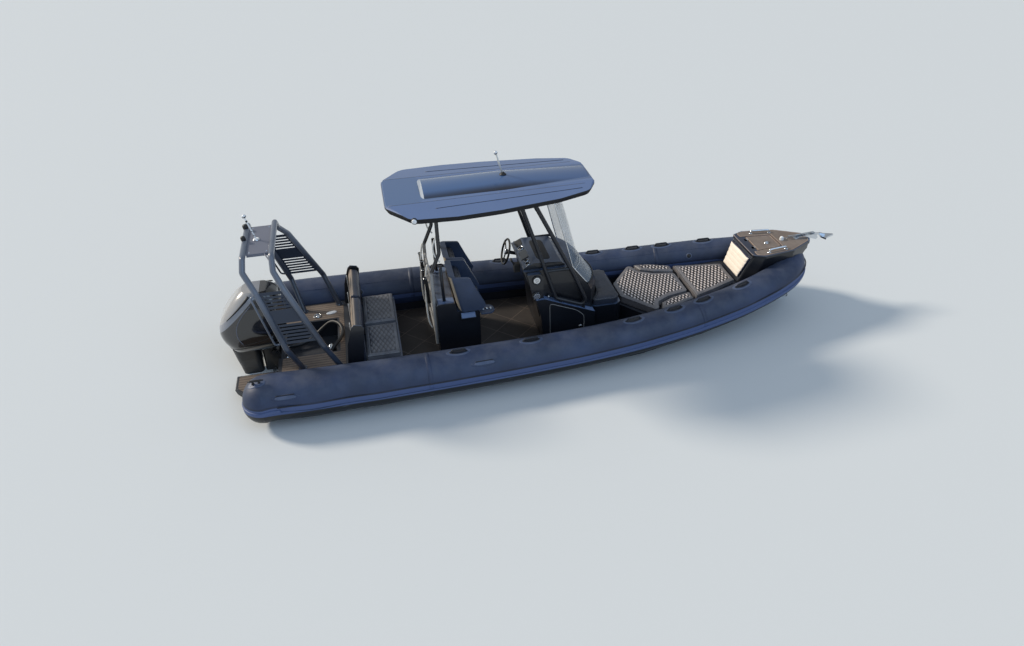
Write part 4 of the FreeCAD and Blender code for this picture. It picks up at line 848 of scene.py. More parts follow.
def tube_mesh(name, points, radius, closed=False, sides=6):
    """A round tube along points. Closed tubes meet themselves and open ones are capped."""
    points = [Vector(p) for p in points]
    count = len(points)
    verts, previous = [], None
    for k, p in enumerate(points):
        ahead = points[(k + 1) % count] if closed or k < count - 1 else p
        behind = points[k - 1] if closed or k > 0 else p
        along = (ahead - behind).normalized()
        if previous is None:
            previous = along.orthogonal().normalized()
        previous = (previous - along * previous.dot(along)).normalized()
        across = along.cross(previous)
        width = radius[k] if isinstance(radius, (list, tuple)) else radius
        verts += [p + (previous * math.cos(a) + across * math.sin(a)) * width
                  for a in (2 * math.pi * j / sides for j in range(sides))]
    faces = sleeve(count, sides, closed=closed)
    if not closed:
        faces += [tuple(range(sides - 1, -1, -1)), tuple(range((count - 1) * sides, count * sides))]
    mesh = bpy.data.meshes.new(name)
    mesh.from_pydata(verts, [], faces)
    mesh.validate()
    mesh.shade_smooth()
    return mesh


def new_tree(name, inputs):
    """A Geometry Nodes tree with one output and named inputs, and the identifier of each input."""
    tree = bpy.data.node_groups.new(name, "GeometryNodeTree")
    sockets = {label: tree.interface.new_socket(label, in_out="INPUT", socket_type="NodeSocket" + kind).identifier
               for label, kind in inputs.items()}
    tree.interface.new_socket("Geometry", in_out="OUTPUT", socket_type="NodeSocketGeometry")
    return tree, sockets


def wire(tree, rows):
    """Join nodes. Each row is a node, its output, another node and that node's input."""
    for source, output, target, entry in rows:
        tree.links.new(source.outputs[output], target.inputs[entry])


def grown(verts, edges, group, inputs, **values):
    """What a tree makes of a path, as a plain mesh."""
    mesh = bpy.data.meshes.new("path")
    mesh.from_pydata([tuple(v) for v in verts], edges, [])
    work = linked("work", mesh)
    modifier = work.modifiers.new("tree", "NODES")
    modifier.node_group = group
    for label, value in values.items():
        modifier[inputs[label]] = value
    return baked(work, "grown")


def bead_tree():
    """A Geometry Nodes tree that puts beads along a path."""
    tree, sockets = new_tree("beads along a path", {"Geometry": "Geometry", "Pitch": "Float", "Size": "Vector",
                                                    "Detail": "Int", "Finish": "Material"})
    entry, leave, path, points, bead, put, real, paint_it = (tree.nodes.new(kind) for kind in (
        "NodeGroupInput", "NodeGroupOutput", "GeometryNodeMeshToCurve", "GeometryNodeCurveToPoints",
        "GeometryNodeMeshIcoSphere", "GeometryNodeInstanceOnPoints", "GeometryNodeRealizeInstances",
        "GeometryNodeSetMaterial"))
    points.mode = "LENGTH"
    bead.inputs["Radius"].default_value = 0.5
    wire(tree, ((entry, "Geometry", path, 0), (path, 0, points, "Curve"), (entry, "Pitch", points, "Length"),
                (entry, "Detail", bead, "Subdivisions"), (points, "Points", put, "Points"),
                (points, "Rotation", put, "Rotation"), (bead, "Mesh", put, "Instance"), (entry, "Size", put, "Scale"),
                (put, 0, real, 0), (real, 0, paint_it, "Geometry"), (entry, "Finish", paint_it, "Material"),
                (paint_it, 0, leave, 0)))
    return tree, sockets


bead_group, bead_inputs = bead_tree()


def beads(paths, pitch, size, finish, detail=1):
    """A mesh of beads along several paths. Each path is (points, closed). Size is across, across and along."""
    verts, edges = [], []
    for points, closed in paths:
        first, count = len(verts), len(points)
        verts += points
        edges += [(first + k, first + (k + 1) % count) for k in range(count if closed else count - 1)]
    return grown(verts, edges, bead_group, bead_inputs, Pitch=pitch, Size=size, Detail=detail, Finish=finish)


def joined(name, meshes):
    """Several meshes, each with its material, as one mesh."""
    whole = bmesh.new()
    slots = []
    for mesh in meshes:
        first = len(whole.faces)
        whole.from_mesh(mesh)
        whole.faces.ensure_lookup_table()
        for material in mesh.materials or [None]:
            if material not in slots:
                slots.append(material)
        for face in whole.faces[first:]:
            own = mesh.materials[face.material_index] if mesh.materials else None
            face.material_index = slots.index(own)
    made = bpy.data.meshes.new(name)
    whole.to_mesh(made)
    whole.free()
    for material in slots:
        made.materials.append(material)
    return made


def dressed(mesh, finish):
    """A mesh with one finish."""
    mesh.materials.clear()
    mesh.materials.append(finishes[finish])
    return mesh


def add_piece(name, meshes, body="boat", replaces=()):
    """One finished piece of the scene, riding on a body."""
    piece = linked(name, joined(name, meshes) if isinstance(meshes, list) else meshes)
    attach(piece, body)
    if replaces:
        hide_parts(*replaces)
    return piece


print("tree inputs:", list(bead_inputs))

# %% [markdown]
# The path of each piping is the block's outline at the height of its rounded edge. On a seat that is the outline seen
# from above. On a back rest it is the outline seen from the front.

# %% Cover the cushions with piping and stitches
def outline_path(outline, inset):
    """Points along an outline, smoothed and moved inwards, square to the outline itself."""
    dense = even_loop(outline, 0.012)
    for _ in range(8):
        dense = (np.roll(dense, 1, axis=0) + 2 * dense + np.roll(dense, -1, axis=0)) / 4
    along = np.roll(dense, -1, axis=0) - np.roll(dense, 1, axis=0)
    along /= np.linalg.norm(along, axis=1, keepdims=True)
    return dense + np.stack([-along[:, 1], along[:, 0]], axis=1) * inset


def on_surface(tree, flat, facing, level):
    """Drop points of a plane onto a cushion, looking against the way that it faces."""
    axis = [k for k in range(3) if facing[k]][0]
    out = []
    for a, b in flat:
        place = [a, b]
        place.insert(axis, level)
        spot, normal, _, _ = tree.find_nearest(Vector(place))
        out.append((spot, normal))
    return out


piping_levels = {"bench_backrests": (0.10, 0.90), "seat_backs": (0.12,), "bow_pad": ()}
cover_finish = {"bow_pad": "cream_vinyl", "seat_backs": "dark_vinyl", "seat_pads": "dark_vinyl",
                "front_seat_cushion": "dark_vinyl", "bench_backrests": "bench_vinyl", "lounge_pad_aft": "lounge_vinyl",
                "lounge_pads_side": "lounge_vinyl", "lounge_pad_bow": "lounge_vinyl"}
for node_name, parts in cushions.items():
    covers, cords, seams = [], [], []
    for mesh, block, outline, facing in parts:
        tree = BVHTree.FromPolygons([v.co for v in mesh.vertices], [p.vertices for p in mesh.polygons])
        axis = [k for k in range(3) if facing[k]][0]
        low, high = block[:, axis].min(), block[:, axis].max()
        if facing[axis] < 0:
            low, high = high, low
        for share in piping_levels.get(node_name, (0.14,)):
            level = high + (low - high) * share
            # Dropped onto the stuffed surface, so that the cord follows the cushion and not the block
            ring = [spot for spot, normal in on_surface(tree, outline_path(outline, 0.004), facing, level)]
            cords.append(dressed(tube_mesh("piping", ring, 0.0042, closed=True), "piping"))
        if quilt_rows[node_name][4] != "channel":
            ring = [spot + normal * 0.0006 for spot, normal in
                    on_surface(tree, outline_path(outline, 0.026), facing, high)]
            seams.append((ring, True))
        covers.append(dressed(mesh, cover_finish.get(node_name, "upholstery")))
    if seams:
        cords.append(beads(seams, 0.009, (0.0014, 0.0014, 0.0060), finishes["thread"]))
    add_piece(node_name + "_covers", covers + cords, "bench_lid" if node_name == "bench_cushions" else "boat",
              (node_name,))
print("cushions covered:", len(cushions))

# %% [markdown]
# ## Things that lie on a surface
# Patches, seams and pads follow the part that carries them. A search tree of that part's surface gives the spot under
# any point, so a flat outline can be dropped onto it and lifted by the pad's thickness. The outline is a superellipse:
# a power of 2 makes an oval, and a higher one a box with round corners. The rim of a patch goes a little under the
# surface, and its underside is closed.

# %% Lay a point or a patch on a surface
def tree_of(*names):
    """A search tree of the surface of some CAD nodes."""
    verts, faces = [], []
    for name in names:
        mesh = nodes[name].data
        first = len(verts)
        verts += [v.co.copy() for v in mesh.vertices]
        faces += [tuple(first + k for k in p.vertices) for p in mesh.polygons]
    return BVHTree.FromPolygons(verts, faces)


def laid(tree, place, toward, lift=0.0):
    """Where a line from a place meets a surface, lifted off it."""
    place, toward = Vector(place), Vector(toward).normalized()
    spot, normal, _, _ = tree.ray_cast(place, toward)
    if spot is None:
        spot, normal, _, _ = tree.find_nearest(place)
    if normal.dot(toward) > 0:
        normal = -normal
    return spot + normal * lift


def patch(tree, centre, along, toward, half_length, half_width, lift, finish, power=2.0, spokes=36):
    """A thin pad on a surface, looking against toward, with its long side along."""
    centre, along, toward = Vector(centre), Vector(along).normalized(), Vector(toward).normalized()
    across = toward.cross(along).normalized()
    along = across.cross(toward).normalized()
    rings = ((0.3, lift), (0.65, lift), (0.9, lift), (0.97, lift * 0.8), (1.0, lift * 0.35), (1.01, -0.002))
    verts, faces = [laid(tree, centre, toward, lift)], []
    for share, height in rings:
        for k in range(spokes):
            c, s = math.cos(2 * math.pi * k / spokes), math.sin(2 * math.pi * k / spokes)
            u = math.copysign(abs(c) ** (2 / power), c) * half_length * share
            v = math.copysign(abs(s) ** (2 / power), s) * half_width * share
            verts.append(laid(tree, centre + along * u + across * v, toward, height))
    faces += [(0, 1 + (k + 1) % spokes, 1 + k) for k in range(spokes)]
    faces += sleeve(len(rings), spokes, 1)
    last = 1 + (len(rings) - 1) * spokes
    verts.append(laid(tree, centre, toward, -0.003))
    faces += [(last + k, last + (k + 1) % spokes, len(verts) - 1) for k in range(spokes)]
    return solid_mesh("patch", verts, faces, finish)


def solid_mesh(name, verts, faces, finish, smooth=True):
    """A closed mesh with its faces turned outwards."""
    mesh = bpy.data.meshes.new(name)
    mesh.from_pydata([tuple(v) for v in verts], [], faces)
    shell = bmesh.new()
    shell.from_mesh(mesh)
    bmesh.ops.recalc_face_normals(shell, faces=shell.faces)
    shell.to_mesh(mesh)
    shell.free()
    if smooth:
        mesh.shade_smooth()
    return dressed(mesh, finish)


def tube(points, radius, finish, closed=False, sides=10):
    return dressed(tube_mesh("tube", points, radius, closed, sides), finish)


def smooth_line(points, count):
    """A line through a few points, made dense and even by a quadratic blend."""
    spine = bpy.data.curves.new("line", "CURVE")
    spline = spine.splines.new("NURBS")
    spline.points.add(len(points) - 1)
    for point, place in zip(spline.points, points):
        point.co = (*place, 1)
    spline.order_u, spline.use_endpoint_u, spline.resolution_u = 3, True, 12
    spine.dimensions = "3D"
    mesh = baked(linked("line", spine), "line")
    flat = points_of(mesh)
    run = np.concatenate([[0], np.cumsum(np.linalg.norm(np.diff(flat, axis=0), axis=1))])
    return [Vector([float(np.interp(s, run, flat[:, k])) for k in range(3)]) for s in np.linspace(0, run[-1], count)]


def mirrored(mesh):
    """The same mesh on the other side of the boat."""
    copy = mesh.copy()
    copy.transform(Matrix.Scale(-1, 4, Vector((0, 1, 0))))
    copy.flip_normals()
    return copy


def both(mesh):
    return [mesh, mirrored(mesh)]


def turned(profile, base, axis, finish, sides=24):
    """A turned part: rows of (radius, height) spun about an axis that starts at the base."""
    base, axis = Vector(base), Vector(axis).normalized()
    side = axis.orthogonal().normalized()
    other = axis.cross(side)
    verts = []
    for radius, height in profile:
        verts += [base + axis * height + (side * math.cos(a) + other * math.sin(a)) * radius
                  for a in (2 * math.pi * k / sides for k in range(sides))]
    ends = [tuple(range(sides)), tuple(range((len(profile) - 1) * sides, len(profile) * sides))]
    return solid_mesh("turned", verts, sleeve(len(profile), sides) + ends, finish)


print("surface helpers ready")

# %% [markdown]
# Flat pads of foam and flat plates are drawn as outlines with round corners. A filled 2D curve copes with hollow
# outlines and with holes, takes a thickness and a small bevel, and becomes a mesh that is then lifted to its height.

# %% Flat sheets with round corners and holes
def round_outline(points, radius):
    """An outline with each corner replaced by an arc of six points."""
    out = []
    points = [Vector(p) for p in points]
    for before, spot, after in zip(points[-1:] + points[:-1], points, points[1:] + points[:1]):
        reach = min(radius, 0.45 * (before - spot).length, 0.45 * (after - spot).length)
        start, end = (spot + (other - spot).normalized() * reach for other in (before, after))
        out += [start.lerp(spot, t).lerp(spot.lerp(end, t), t) for t in (k / 5 for k in range(6))]
    return out


def flat_sheet(outlines, height, thick, finish, bevel=0.0012, radius=0.02):
    """A flat sheet at a height, with the first outline as its edge and the others as holes."""
    curve = bpy.data.curves.new("sheet", "CURVE")
    curve.dimensions, curve.fill_mode = "2D", "BOTH"
    curve.extrude, curve.bevel_depth, curve.bevel_resolution = thick / 2 - bevel, bevel, 1
    for outline in outlines:
        corners = round_outline(outline, radius)
        spline = curve.splines.new("POLY")
        spline.points.add(len(corners) - 1)
        for point, corner in zip(spline.points, corners):
            point.co = (corner.x, corner.y, 0, 1)
        spline.use_cyclic_u = True
    mesh = baked(linked("sheet", curve), "sheet")
    mesh.transform(Matrix.Translation((0, 0, height + thick / 2)))
    return dressed(mesh, finish)


def with_port(points):
    """The outline of half a boat, given on the port side, closed by its mirror image."""
    return list(points) + [(x, -y) for x, y in reversed(points)]


print("flat sheets ready")

# %% [markdown]
# ## The tube's seams and fittings
# The tube is glued up from sheets of fabric. Where two chambers meet, a band covers the joint. A welt runs above the
# strake, and rubber wraps each stern below it. Every carrying handle stands on an oval rubber patch, each chamber has
# an inflation valve on its inner side, and there is a long moulded grip on the side and a small black cleat on each
# stern. The centreline of the tube is the same curve as in the CAD model: a superellipse in plan whose height climbs
# to the bow.

# %% The tube's centreline
def tube_centre(x):
    """The middle of the tube at a station, on the port side."""
    share = min(max((x - tube_run_x) / (tube_nose_x - tube_run_x), 0), 1)
    climb = max(0, x - sheer_x) / (tube_nose_x - sheer_x)
    return Vector((x, tube_half * (1 - share ** tube_power) ** (1 / tube_power), tube_z + sheer_up * climb ** 2))


def tube_ring(x):
    """Centre, outward direction, along direction and radius of the tube at a station."""
    share = max(0, x - tube_run_x) / (tube_nose_x - tube_run_x)
    along = (tube_centre(min(x + 0.004, tube_nose_x)) - tube_centre(x - 0.004)).normalized()
    out = Vector(UP).cross(along).normalized()
    return tube_centre(x), out, along, tube_r_stern + (tube_r_bow - tube_r_stern) * share


def tube_spot(x, angle, lift):
    """A point on the tube, at an angle up from its outer side."""
    centre, out, along, radius = tube_ring(x)
    up = along.cross(out)
    if up.z < 0:
        up = -up
    return centre + (out * math.cos(math.radians(angle)) + up * math.sin(math.radians(angle))) * (radius + lift)


def round_bow(angle, lift):
    """A line along the tube, from the port stern round the bow to the starboard one."""
    shares = [math.sin(math.radians(a)) ** (2 / tube_power) for a in range(0, 90, 2)]
    stations = [-3.43, -3.34] + [tube_run_x + (tube_nose_x - tube_run_x) * share for share in shares]
    port = [tube_spot(x, angle, lift) for x in stations]
    return port + [Vector((p.x, -p.y, p.z)) for p in reversed(port)]


print("tube centreline from x", tube_run_x, "to", tube_nose_x)

# %% Bands over the joints, welt, and rubber round the sterns
collar = tree_of("collar_aft", "collar_side", "collar_bow")
chamber_joints, welt_angle, inner_seam_angle = (-1.62, 1.98), 8.5, 128
tube_parts = []
for x in chamber_joints:
    rows = [(tube_spot(x - half, a, lift), tube_spot(x + half, a, lift))
            for half, lift in ((0.028, 0.0016), (0.030, -0.003)) for a in range(-5, 186, 5)]
    n, faces = len(rows) // 2, []
    for a, b in ((2 * k, 2 * (n + k)) for k in range(n - 1)):
        faces += [(a, a + 1, a + 3, a + 2), (b, b + 2, b + 3, b + 1)]
        faces += [(a, a + 2, b + 2, b), (a + 1, b + 1, b + 3, a + 3)]
    faces += [(0, 2 * n, 2 * n + 1, 1), (2 * n - 2, 2 * n - 1, 4 * n - 1, 4 * n - 2)]
    tube_parts += both(solid_mesh("band", [p for pair in rows for p in pair], faces, "tube_fabric"))
tube_parts.append(tube(round_bow(welt_angle, 0.0), 0.007, "handle_rubber", sides=8))
tube_parts.append(tube(round_bow(inner_seam_angle, -0.0005), 0.0022, "tube_fabric", sides=6))
wrap_rows = ((0.334, -0.003), (0.324, 0.012), (0.262, 0.016), (0.212, 0.016), (0.168, 0.014), (0.160, -0.003))
wrap, rows, columns = [], len(wrap_rows), 27
for k in range(columns):
    turn = math.radians(90 + 6.0 * k) if k > 1 else math.radians(90)
    centre = Vector((-3.44 if k else -3.40, -tube_half, 0))
    outward = Vector((math.cos(turn), -math.sin(turn), 0))
    wrap += [laid(collar, centre + outward * 0.9 + Vector((0, 0, z)), -outward, lift) for z, lift in wrap_rows]
faces = [tuple(range(rows)), tuple(range((columns - 1) * rows, columns * rows))]
tube_parts += both(solid_mesh("wrap", wrap, faces + sleeve(columns, rows), "strake_rubber"))
add_piece("tube_seams", tube_parts)
print("seams and bands:", len(tube_parts))


# %% Handle patches, grips, valves and cleats
def tube_patches(x, above, rows):
    """Pads on both sides of the tube at a station, one over the other, seen from a point above the tube."""
    centre, out, along, radius = tube_ring(x)
    return [pad for half_length, half_width, lift, finish, power in rows
            for pad in both(patch(collar, above, along, centre - above, half_length, half_width, lift, finish, power))]


handle_stations, valve_stations = (-1.230, -0.310, 1.060, 1.640, 2.060, 2.650), (-2.35, 0.15, 2.45)
grips = ((-3.32, 31), (-0.95, 41))
fitting_parts = []
for x in handle_stations:
    fitting_parts += tube_patches(x, tube_centre(x) + Vector((0, 0, 0.6)), (
        (0.150, 0.072, 0.0030, "patch_rubber", 2.0), (0.118, 0.044, 0.0052, "handle_rubber", 2.0)))
for x, angle in grips:
    spot, inward = tube_spot(x, angle, 0.2), tube_centre(x) - tube_spot(x, angle, 0.2)
    fitting_parts += tube_patches(x, spot, ((0.165, 0.040, 0.004, "tube_fabric", 2.0),
                                            (0.125, 0.020, 0.015, "patch_rubber", 3.0)))
    # Painted shade: a dark line along the top of the grip stands for the shade in its slot.
    slot_shade_line = [laid(collar, tube_spot(x + 0.012 * k, angle + 4.5, 0.1), inward, 0.004) for k in range(-9, 10)]
    fitting_parts += both(tube(slot_shade_line, 0.006, "handle_rubber", sides=8))
valve, valve_angle = ((0.030, -0.004), (0.030, 0.004), (0.024, 0.008), (0.008, 0.009)), 152
for x in valve_stations:
    spot = tube_spot(x, valve_angle, 0.1)
    fitting_parts += tube_patches(x, spot, ((0.042, 0.042, 0.003, "patch_rubber", 2.0),))
    fitting_parts += both(turned(valve, tube_spot(x, valve_angle, 0.001), spot - tube_centre(x), "black_plastic"))
cleat_x, cleat_post = -3.640, ((0.020, -0.003), (0.013, 0.012), (0.012, 0.042))
spot = tube_spot(cleat_x, 78, 0.15)
centre, out, along, radius = tube_ring(cleat_x)
up_from = (spot - centre).normalized()
foot = laid(collar, spot, -up_from)
fitting_parts += tube_patches(cleat_x, spot, ((0.110, 0.060, 0.004, "patch_rubber", 2.0),))
for shift in (-0.035, 0.035):
    fitting_parts += both(turned(cleat_post, foot + along * shift, up_from, "black_plastic", 14))
horn = [foot + up_from * 0.045 + along * shift for shift in (-0.090, -0.060, 0.0, 0.060, 0.090)]
fitting_parts += both(tube(horn, [0.007, 0.012, 0.014, 0.012, 0.007], "black_plastic"))
add_piece("tube_fittings", fitting_parts)
print("tube fittings:", len(fitting_parts))

# %% [markdown]
# ## Decks
# The aft decks, the swim platforms and the bow lid carry sheets of ribbed foam, cut a little smaller than the deck with
# round corners, so a dark rim shows around them. The sheet on the bow lid is open where the hatch is, because the
# hatch swings up with a sheet of its own, and it stops short of the lid's navy band.

# %% Foam on the decks
deck_level, step_level, bow_level = 0.3802, 0.2122, 0.9393
foam_thick = 0.0045


def edged_foam(outline, thick, radius):
    """A foam sheet on the bow lid, with its light cut edge."""
    edge = [Vector((p.x, p.y, bow_level + thick - 0.0005)) for p in round_outline(outline, radius)]
    return [flat_sheet([outline], bow_level, thick, "lid_foam", radius=radius),
            tube(edge, 0.0040, "foam_edge", closed=True, sides=8)]


aft_foam = with_port([(-3.400, 0.425), (-3.400, 0.842), (-2.610, 0.842)]) + [(-2.672, -0.425), (-2.672, 0.425)]
step_foam = [(-3.475, 0.445), (-3.475, 0.822), (-3.850, 0.822), (-3.965, 0.700), (-3.965, 0.445)]
deck_parts = [flat_sheet([aft_foam], deck_level, foam_thick, "deck_foam", radius=0.035)]
deck_parts += both(flat_sheet([step_foam], step_level, foam_thick, "deck_foam", radius=0.030))
add_piece("aft_deck_foam", deck_parts)
lid_foam = with_port([(3.004, 0.236), (3.004, 0.338), (3.104, 0.372), (3.530, 0.306), (3.850, 0.114), (3.880, 0.045)])
lid_foam += [(3.444, -0.189), (3.444, 0.189)]
add_piece("bow_deck_foam", edged_foam(lid_foam, 0.0050, 0.012))
print("foam sheets on the aft deck, platforms and bow lid")

# %% [markdown]
# ## Bolts
# The frames are bolted down. The same tree that makes stitches puts the bolts on: given a ring as its path, it sets an
# even number of flattened beads on it.

# %% Bolts on the feet of the arch
def ring_path(centre, axis, radius, count=24):
    """A closed ring of points about an axis."""
    centre, axis = Vector(centre), Vector(axis).normalized()
    side = axis.orthogonal().normalized()
    other = axis.cross(side)
    return [centre + (side * math.cos(a) + other * math.sin(a)) * radius
            for a in (2 * math.pi * k / count for k in range(count))]


def bolts(rings, count, radius, size):
    """Bolt heads on rings of one radius. The spacing along each ring gives the count."""
    paths = [(ring_path(centre, axis, radius), True) for centre, axis in rings]
    return beads(paths, 2 * math.pi * radius / count * 0.995, size, finishes["bright_metal"], 1)


feet = [((x, s * y, 0.3925), UP) for s in (1, -1) for x, y in ((-3.142, 0.690), (-2.662, 0.785))]
add_piece("arch_foot_bolts", [bolts(feet, 4, 0.0445, (0.012, 0.012, 0.010))])
print("bolts on", len(feet), "feet")

# %% [markdown]
# ## Stern arch fittings
# The top plate has two folds, a bracket with a white rod that carries the stern lamp, a black housing at each aft
# corner, and screws. The lamp's ball is white with a black collar.

# %% Fittings on the arch
plate_top = 1.874
mast_foot, mast_low, mast_high = Vector((-3.462, 0, plate_top)), Vector((-3.462, 0, 1.895)), Vector((-3.545, 0, 2.185))
mast_way = (mast_high - mast_low).normalized()
housing = ((0.9, -0.006), (1.0, 0.004), (1.0, 0.038), (0.72, 0.052), (0.3, 0.056))
clip = ((0.0125, -0.010), (0.0135, 0.0), (0.0125, 0.010))
arch_parts = [tube([(x, y, plate_top - 0.0006) for y in (-0.384, -0.1, 0.1, 0.384)], 0.0032, "plate_grey", sides=8)
              for x in (-3.545, -3.300)]
arch_parts += [turned([(share * size, height) for share, height in housing], (-3.600, y, 1.902), (-0.2, 0, 1),
                      "black_plastic", 20) for y, size in ((0.300, 0.034), (-0.040, 0.030))]
arch_parts += [turned(clip, mast_low.lerp(mast_high, share), mast_way, finish, 16)
               for share, finish in ((0.16, "bright_metal"), (0.36, "bright_metal"), (0.80, "black_plastic"))]
arch_parts.append(turned(((0.046, 0.0), (0.046, 0.006), (0.036, 0.011), (0.020, 0.013)),
                         mast_foot + Vector((0, 0, 0.0003)), UP, "bright_metal"))
arch_parts.append(turned(((0.017, -0.020), (0.024, -0.012), (0.026, -0.004), (0.0265, 0.001)), (-3.545, 0, 2.195),
                         mast_way, "black_plastic", 20))
arch_parts += [bolts([((x, y, plate_top + 0.0005), UP)], 1, 0.004, (0.012, 0.012, 0.012))
               for x in (-3.525, -3.325) for y in (-0.34, 0.34)]
add_piece("arch_fittings", arch_parts)
print("arch fittings:", len(arch_parts))

# %% [markdown]
# ## Splash well
# The well holds the clamp bracket's bolts, a drain, two hose clamps and the silver filter bowl that the photograph
# shows beside the rigging hose. A ring and an oval cap stand on the port deck.

# %% Fittings in and beside the well
bowl = ((0.058, 0.0), (0.064, 0.010), (0.064, 0.150), (0.056, 0.170), (0.030, 0.182), (0.012, 0.200))
bowl_collar = ((0.070, 0.0), (0.074, 0.006), (0.074, 0.028), (0.066, 0.034))
wall_plug = ((0.018, 0.0), (0.018, 0.006), (0.011, 0.010))
clamp_bolt = ((0.016, 0.011), (0.016, 0.016), (0.010, 0.026), (0.009, 0.034))
deck_tree = tree_of("hull")
well_parts = [turned(bowl, (-2.800, -0.120, 0.118), UP, "bright_metal", 32),
              turned(bowl_collar, (-2.800, -0.120, 0.150), UP, "black_plastic", 32),
              turned(((0.040, 0.0), (0.040, 0.003), (0.030, 0.006)), (-3.050, -0.250, 0.1185), UP, "black_plastic"),
              tube(ring_path((-2.965, 0.520, 0.392), UP, 0.046, 32), 0.0055, "bright_metal", closed=True),
              patch(deck_tree, (-2.965, 0.520, 0.60), FORWARD, DOWN, 0.030, 0.030, 0.010, "bright_metal"),
              patch(deck_tree, (-2.775, 0.570, 0.60), (1, 0.25, 0), DOWN, 0.074, 0.036, 0.013, "lamp_plastic")]
well_parts += [turned(wall_plug, (-2.7005, y, 0.300), AFT, "bright_metal", 20) for y in (-0.300, -0.220, 0.240, 0.330)]
well_parts += [turned(clamp_bolt, (-3.4, s * 0.128, z), FORWARD, "bright_metal", 12)
               for s in (1, -1) for z in (0.205, 0.150)]
add_piece("well_fittings", well_parts)
print("well fittings:", len(well_parts))

# %% [markdown]
# ## Helm
# The windscreen has a polished edge and a rubber base. The dash carries three round instruments and a dark display, all
# blank. The round fittings on the console's side sit in black rings. The console's locker door shows as an outline
# with a latch. Behind the seats the frame carries rod holders and two bright hand rails, and a small tray with round
# caps stands before the seats.

# %% Windscreen edges
screen_half, screen_bulge = 0.432, 0.150


def bow_arc(side_x, z):
    """The arc of the windscreen at a height, through its two sides and its middle."""
    radius = (screen_half ** 2 + screen_bulge ** 2) / (2 * screen_bulge)
    reach = math.asin(screen_half / radius)
    return [Vector((side_x + screen_bulge - radius + radius * math.cos(a), radius * math.sin(a), z))
            for a in (reach * (k / 14 - 1) for k in range(29))]


screen_rows = ((0.905, 0.6005), (1.143, 0.4193), (1.190, 0.3893), (1.664, 0.2743), (2.130, 0.1493))
corners = [Vector((x, 0.4335, z)) for z, x in screen_rows]
screen_edge = [a.lerp(b, t / 6) for a, b in zip(corners, corners[1:]) for t in range(6)] + [corners[-1]]
helm_parts = both(tube(screen_edge, 0.0075, "bright_metal"))
helm_parts.append(tube(bow_arc(0.6040, 0.909), 0.010, "black_plastic"))
helm_parts.append(tube(bow_arc(0.4240, 1.146), 0.005, "bright_metal"))
print("windscreen edges drawn")

# %% Instruments and panels on the dash
console_tree = tree_of("console")
dash_axis = Vector((-0.432, 0, 0.902))
for y, radius in ((0.120, 0.045), (-0.330, 0.034), (-0.240, 0.034)):
    spot = laid(console_tree, (-0.172, y, 1.6), DOWN)
    bezel = ((radius, -0.004), (radius, 0.010), (radius * 0.86, 0.014), (radius * 0.80, 0.009))
    face = ((radius * 0.80, 0.004), (radius * 0.80, 0.0096), (0.001, 0.0098))
    helm_parts += [turned(bezel, spot, dash_axis, "bright_metal"), turned(face, spot, dash_axis, "dial")]
for x, y, size, finish, power, spokes in ((-0.175, -0.060, (0.120, 0.050, 0.008), "display", 9.0, 48),
                                          (-0.175, 0.290, (0.085, 0.045, 0.005), "black_plastic", 8.0, 40),
                                          (0.050, 0.0, (0.280, 0.090, 0.004), "black_plastic", 7.0, 48)):
    helm_parts.append(patch(console_tree, (x, y, 1.6), (0, 1, 0), DOWN, *size, finish, power, spokes))
print("dash fittings:", len(helm_parts))

# %% Console sides: round fittings, locker door, ledge and knobs
side_y = -0.5362
for x, z in ((-0.098, 1.092), (-0.102, 0.862)):
    helm_parts.append(tube(ring_path((x, -0.5075, z), STARBOARD, 0.052, 36), 0.0105, "black_plastic", closed=True))
    helm_parts.append(bolts([((x, -0.5170, z), STARBOARD)], 6, 0.0525, (0.007, 0.007, 0.006)))
    helm_parts += [tube(ring_path((x, -0.5172, z), STARBOARD, r, 30), 0.0016, "black_plastic", closed=True, sides=6)
                   for r in (0.012, 0.024)]
door = round_outline([(0.060, 0.150), (0.520, 0.150), (0.520, 0.500), (0.420, 0.590), (0.060, 0.740)], 0.05)
helm_parts.append(tube([Vector((p.x, side_y + 0.0006, p.y)) for p in door], 0.0035, "rear_paint", closed=True, sides=8))
door_latch = ((0.026, 0.0), (0.026, 0.006), (0.020, 0.010), (0.010, 0.011))
helm_parts.append(turned(door_latch, (0.470, side_y + 0.0009, 0.330), STARBOARD, "bright_metal"))
# The ledge is a thin sheet on the console's own ledge, and its pale blue is painted sky light.
ledge = [Vector((x, y, z + lift)) for lift in (-0.002, 0.003)
         for x, z in ((-0.115, 0.8125), (0.0, 0.8125), (0.664, 0.5325)) for y in (-0.533, -0.436)]
ledge_faces = [(0, 1, 3, 2), (2, 3, 5, 4), (6, 8, 9, 7), (8, 10, 11, 9), (0, 2, 8, 6), (2, 4, 10, 8), (1, 7, 9, 3),
               (3, 9, 11, 5), (0, 6, 7, 1), (4, 5, 11, 10)]
helm_parts += both(solid_mesh("ledge", ledge, ledge_faces, "ledge_paint", smooth=False))
knob = ((0.014, 0.0), (0.014, 0.030), (0.010, 0.036))
helm_parts += both(turned(knob, (0.060, 0.470, 0.792), UP, "bright_metal", 16))
add_piece("console_fittings", helm_parts)
wheel_at, wheel_out = Vector((-0.352, 0.275, 1.150)), Vector((-0.951, 0, 0.310)).normalized()
hub = ((0.040, 0.002), (0.040, 0.010), (0.030, 0.016), (0.012, 0.018))
wheel_parts = [turned(hub, wheel_at, wheel_out, "bright_metal"),
               bolts([(wheel_at + wheel_out * 0.010, wheel_out)], 6, 0.033, (0.006, 0.006, 0.006))]
add_piece("wheel_cap", wheel_parts, "helm_wheel")
print("console and wheel:", len(helm_parts) + len(wheel_parts))

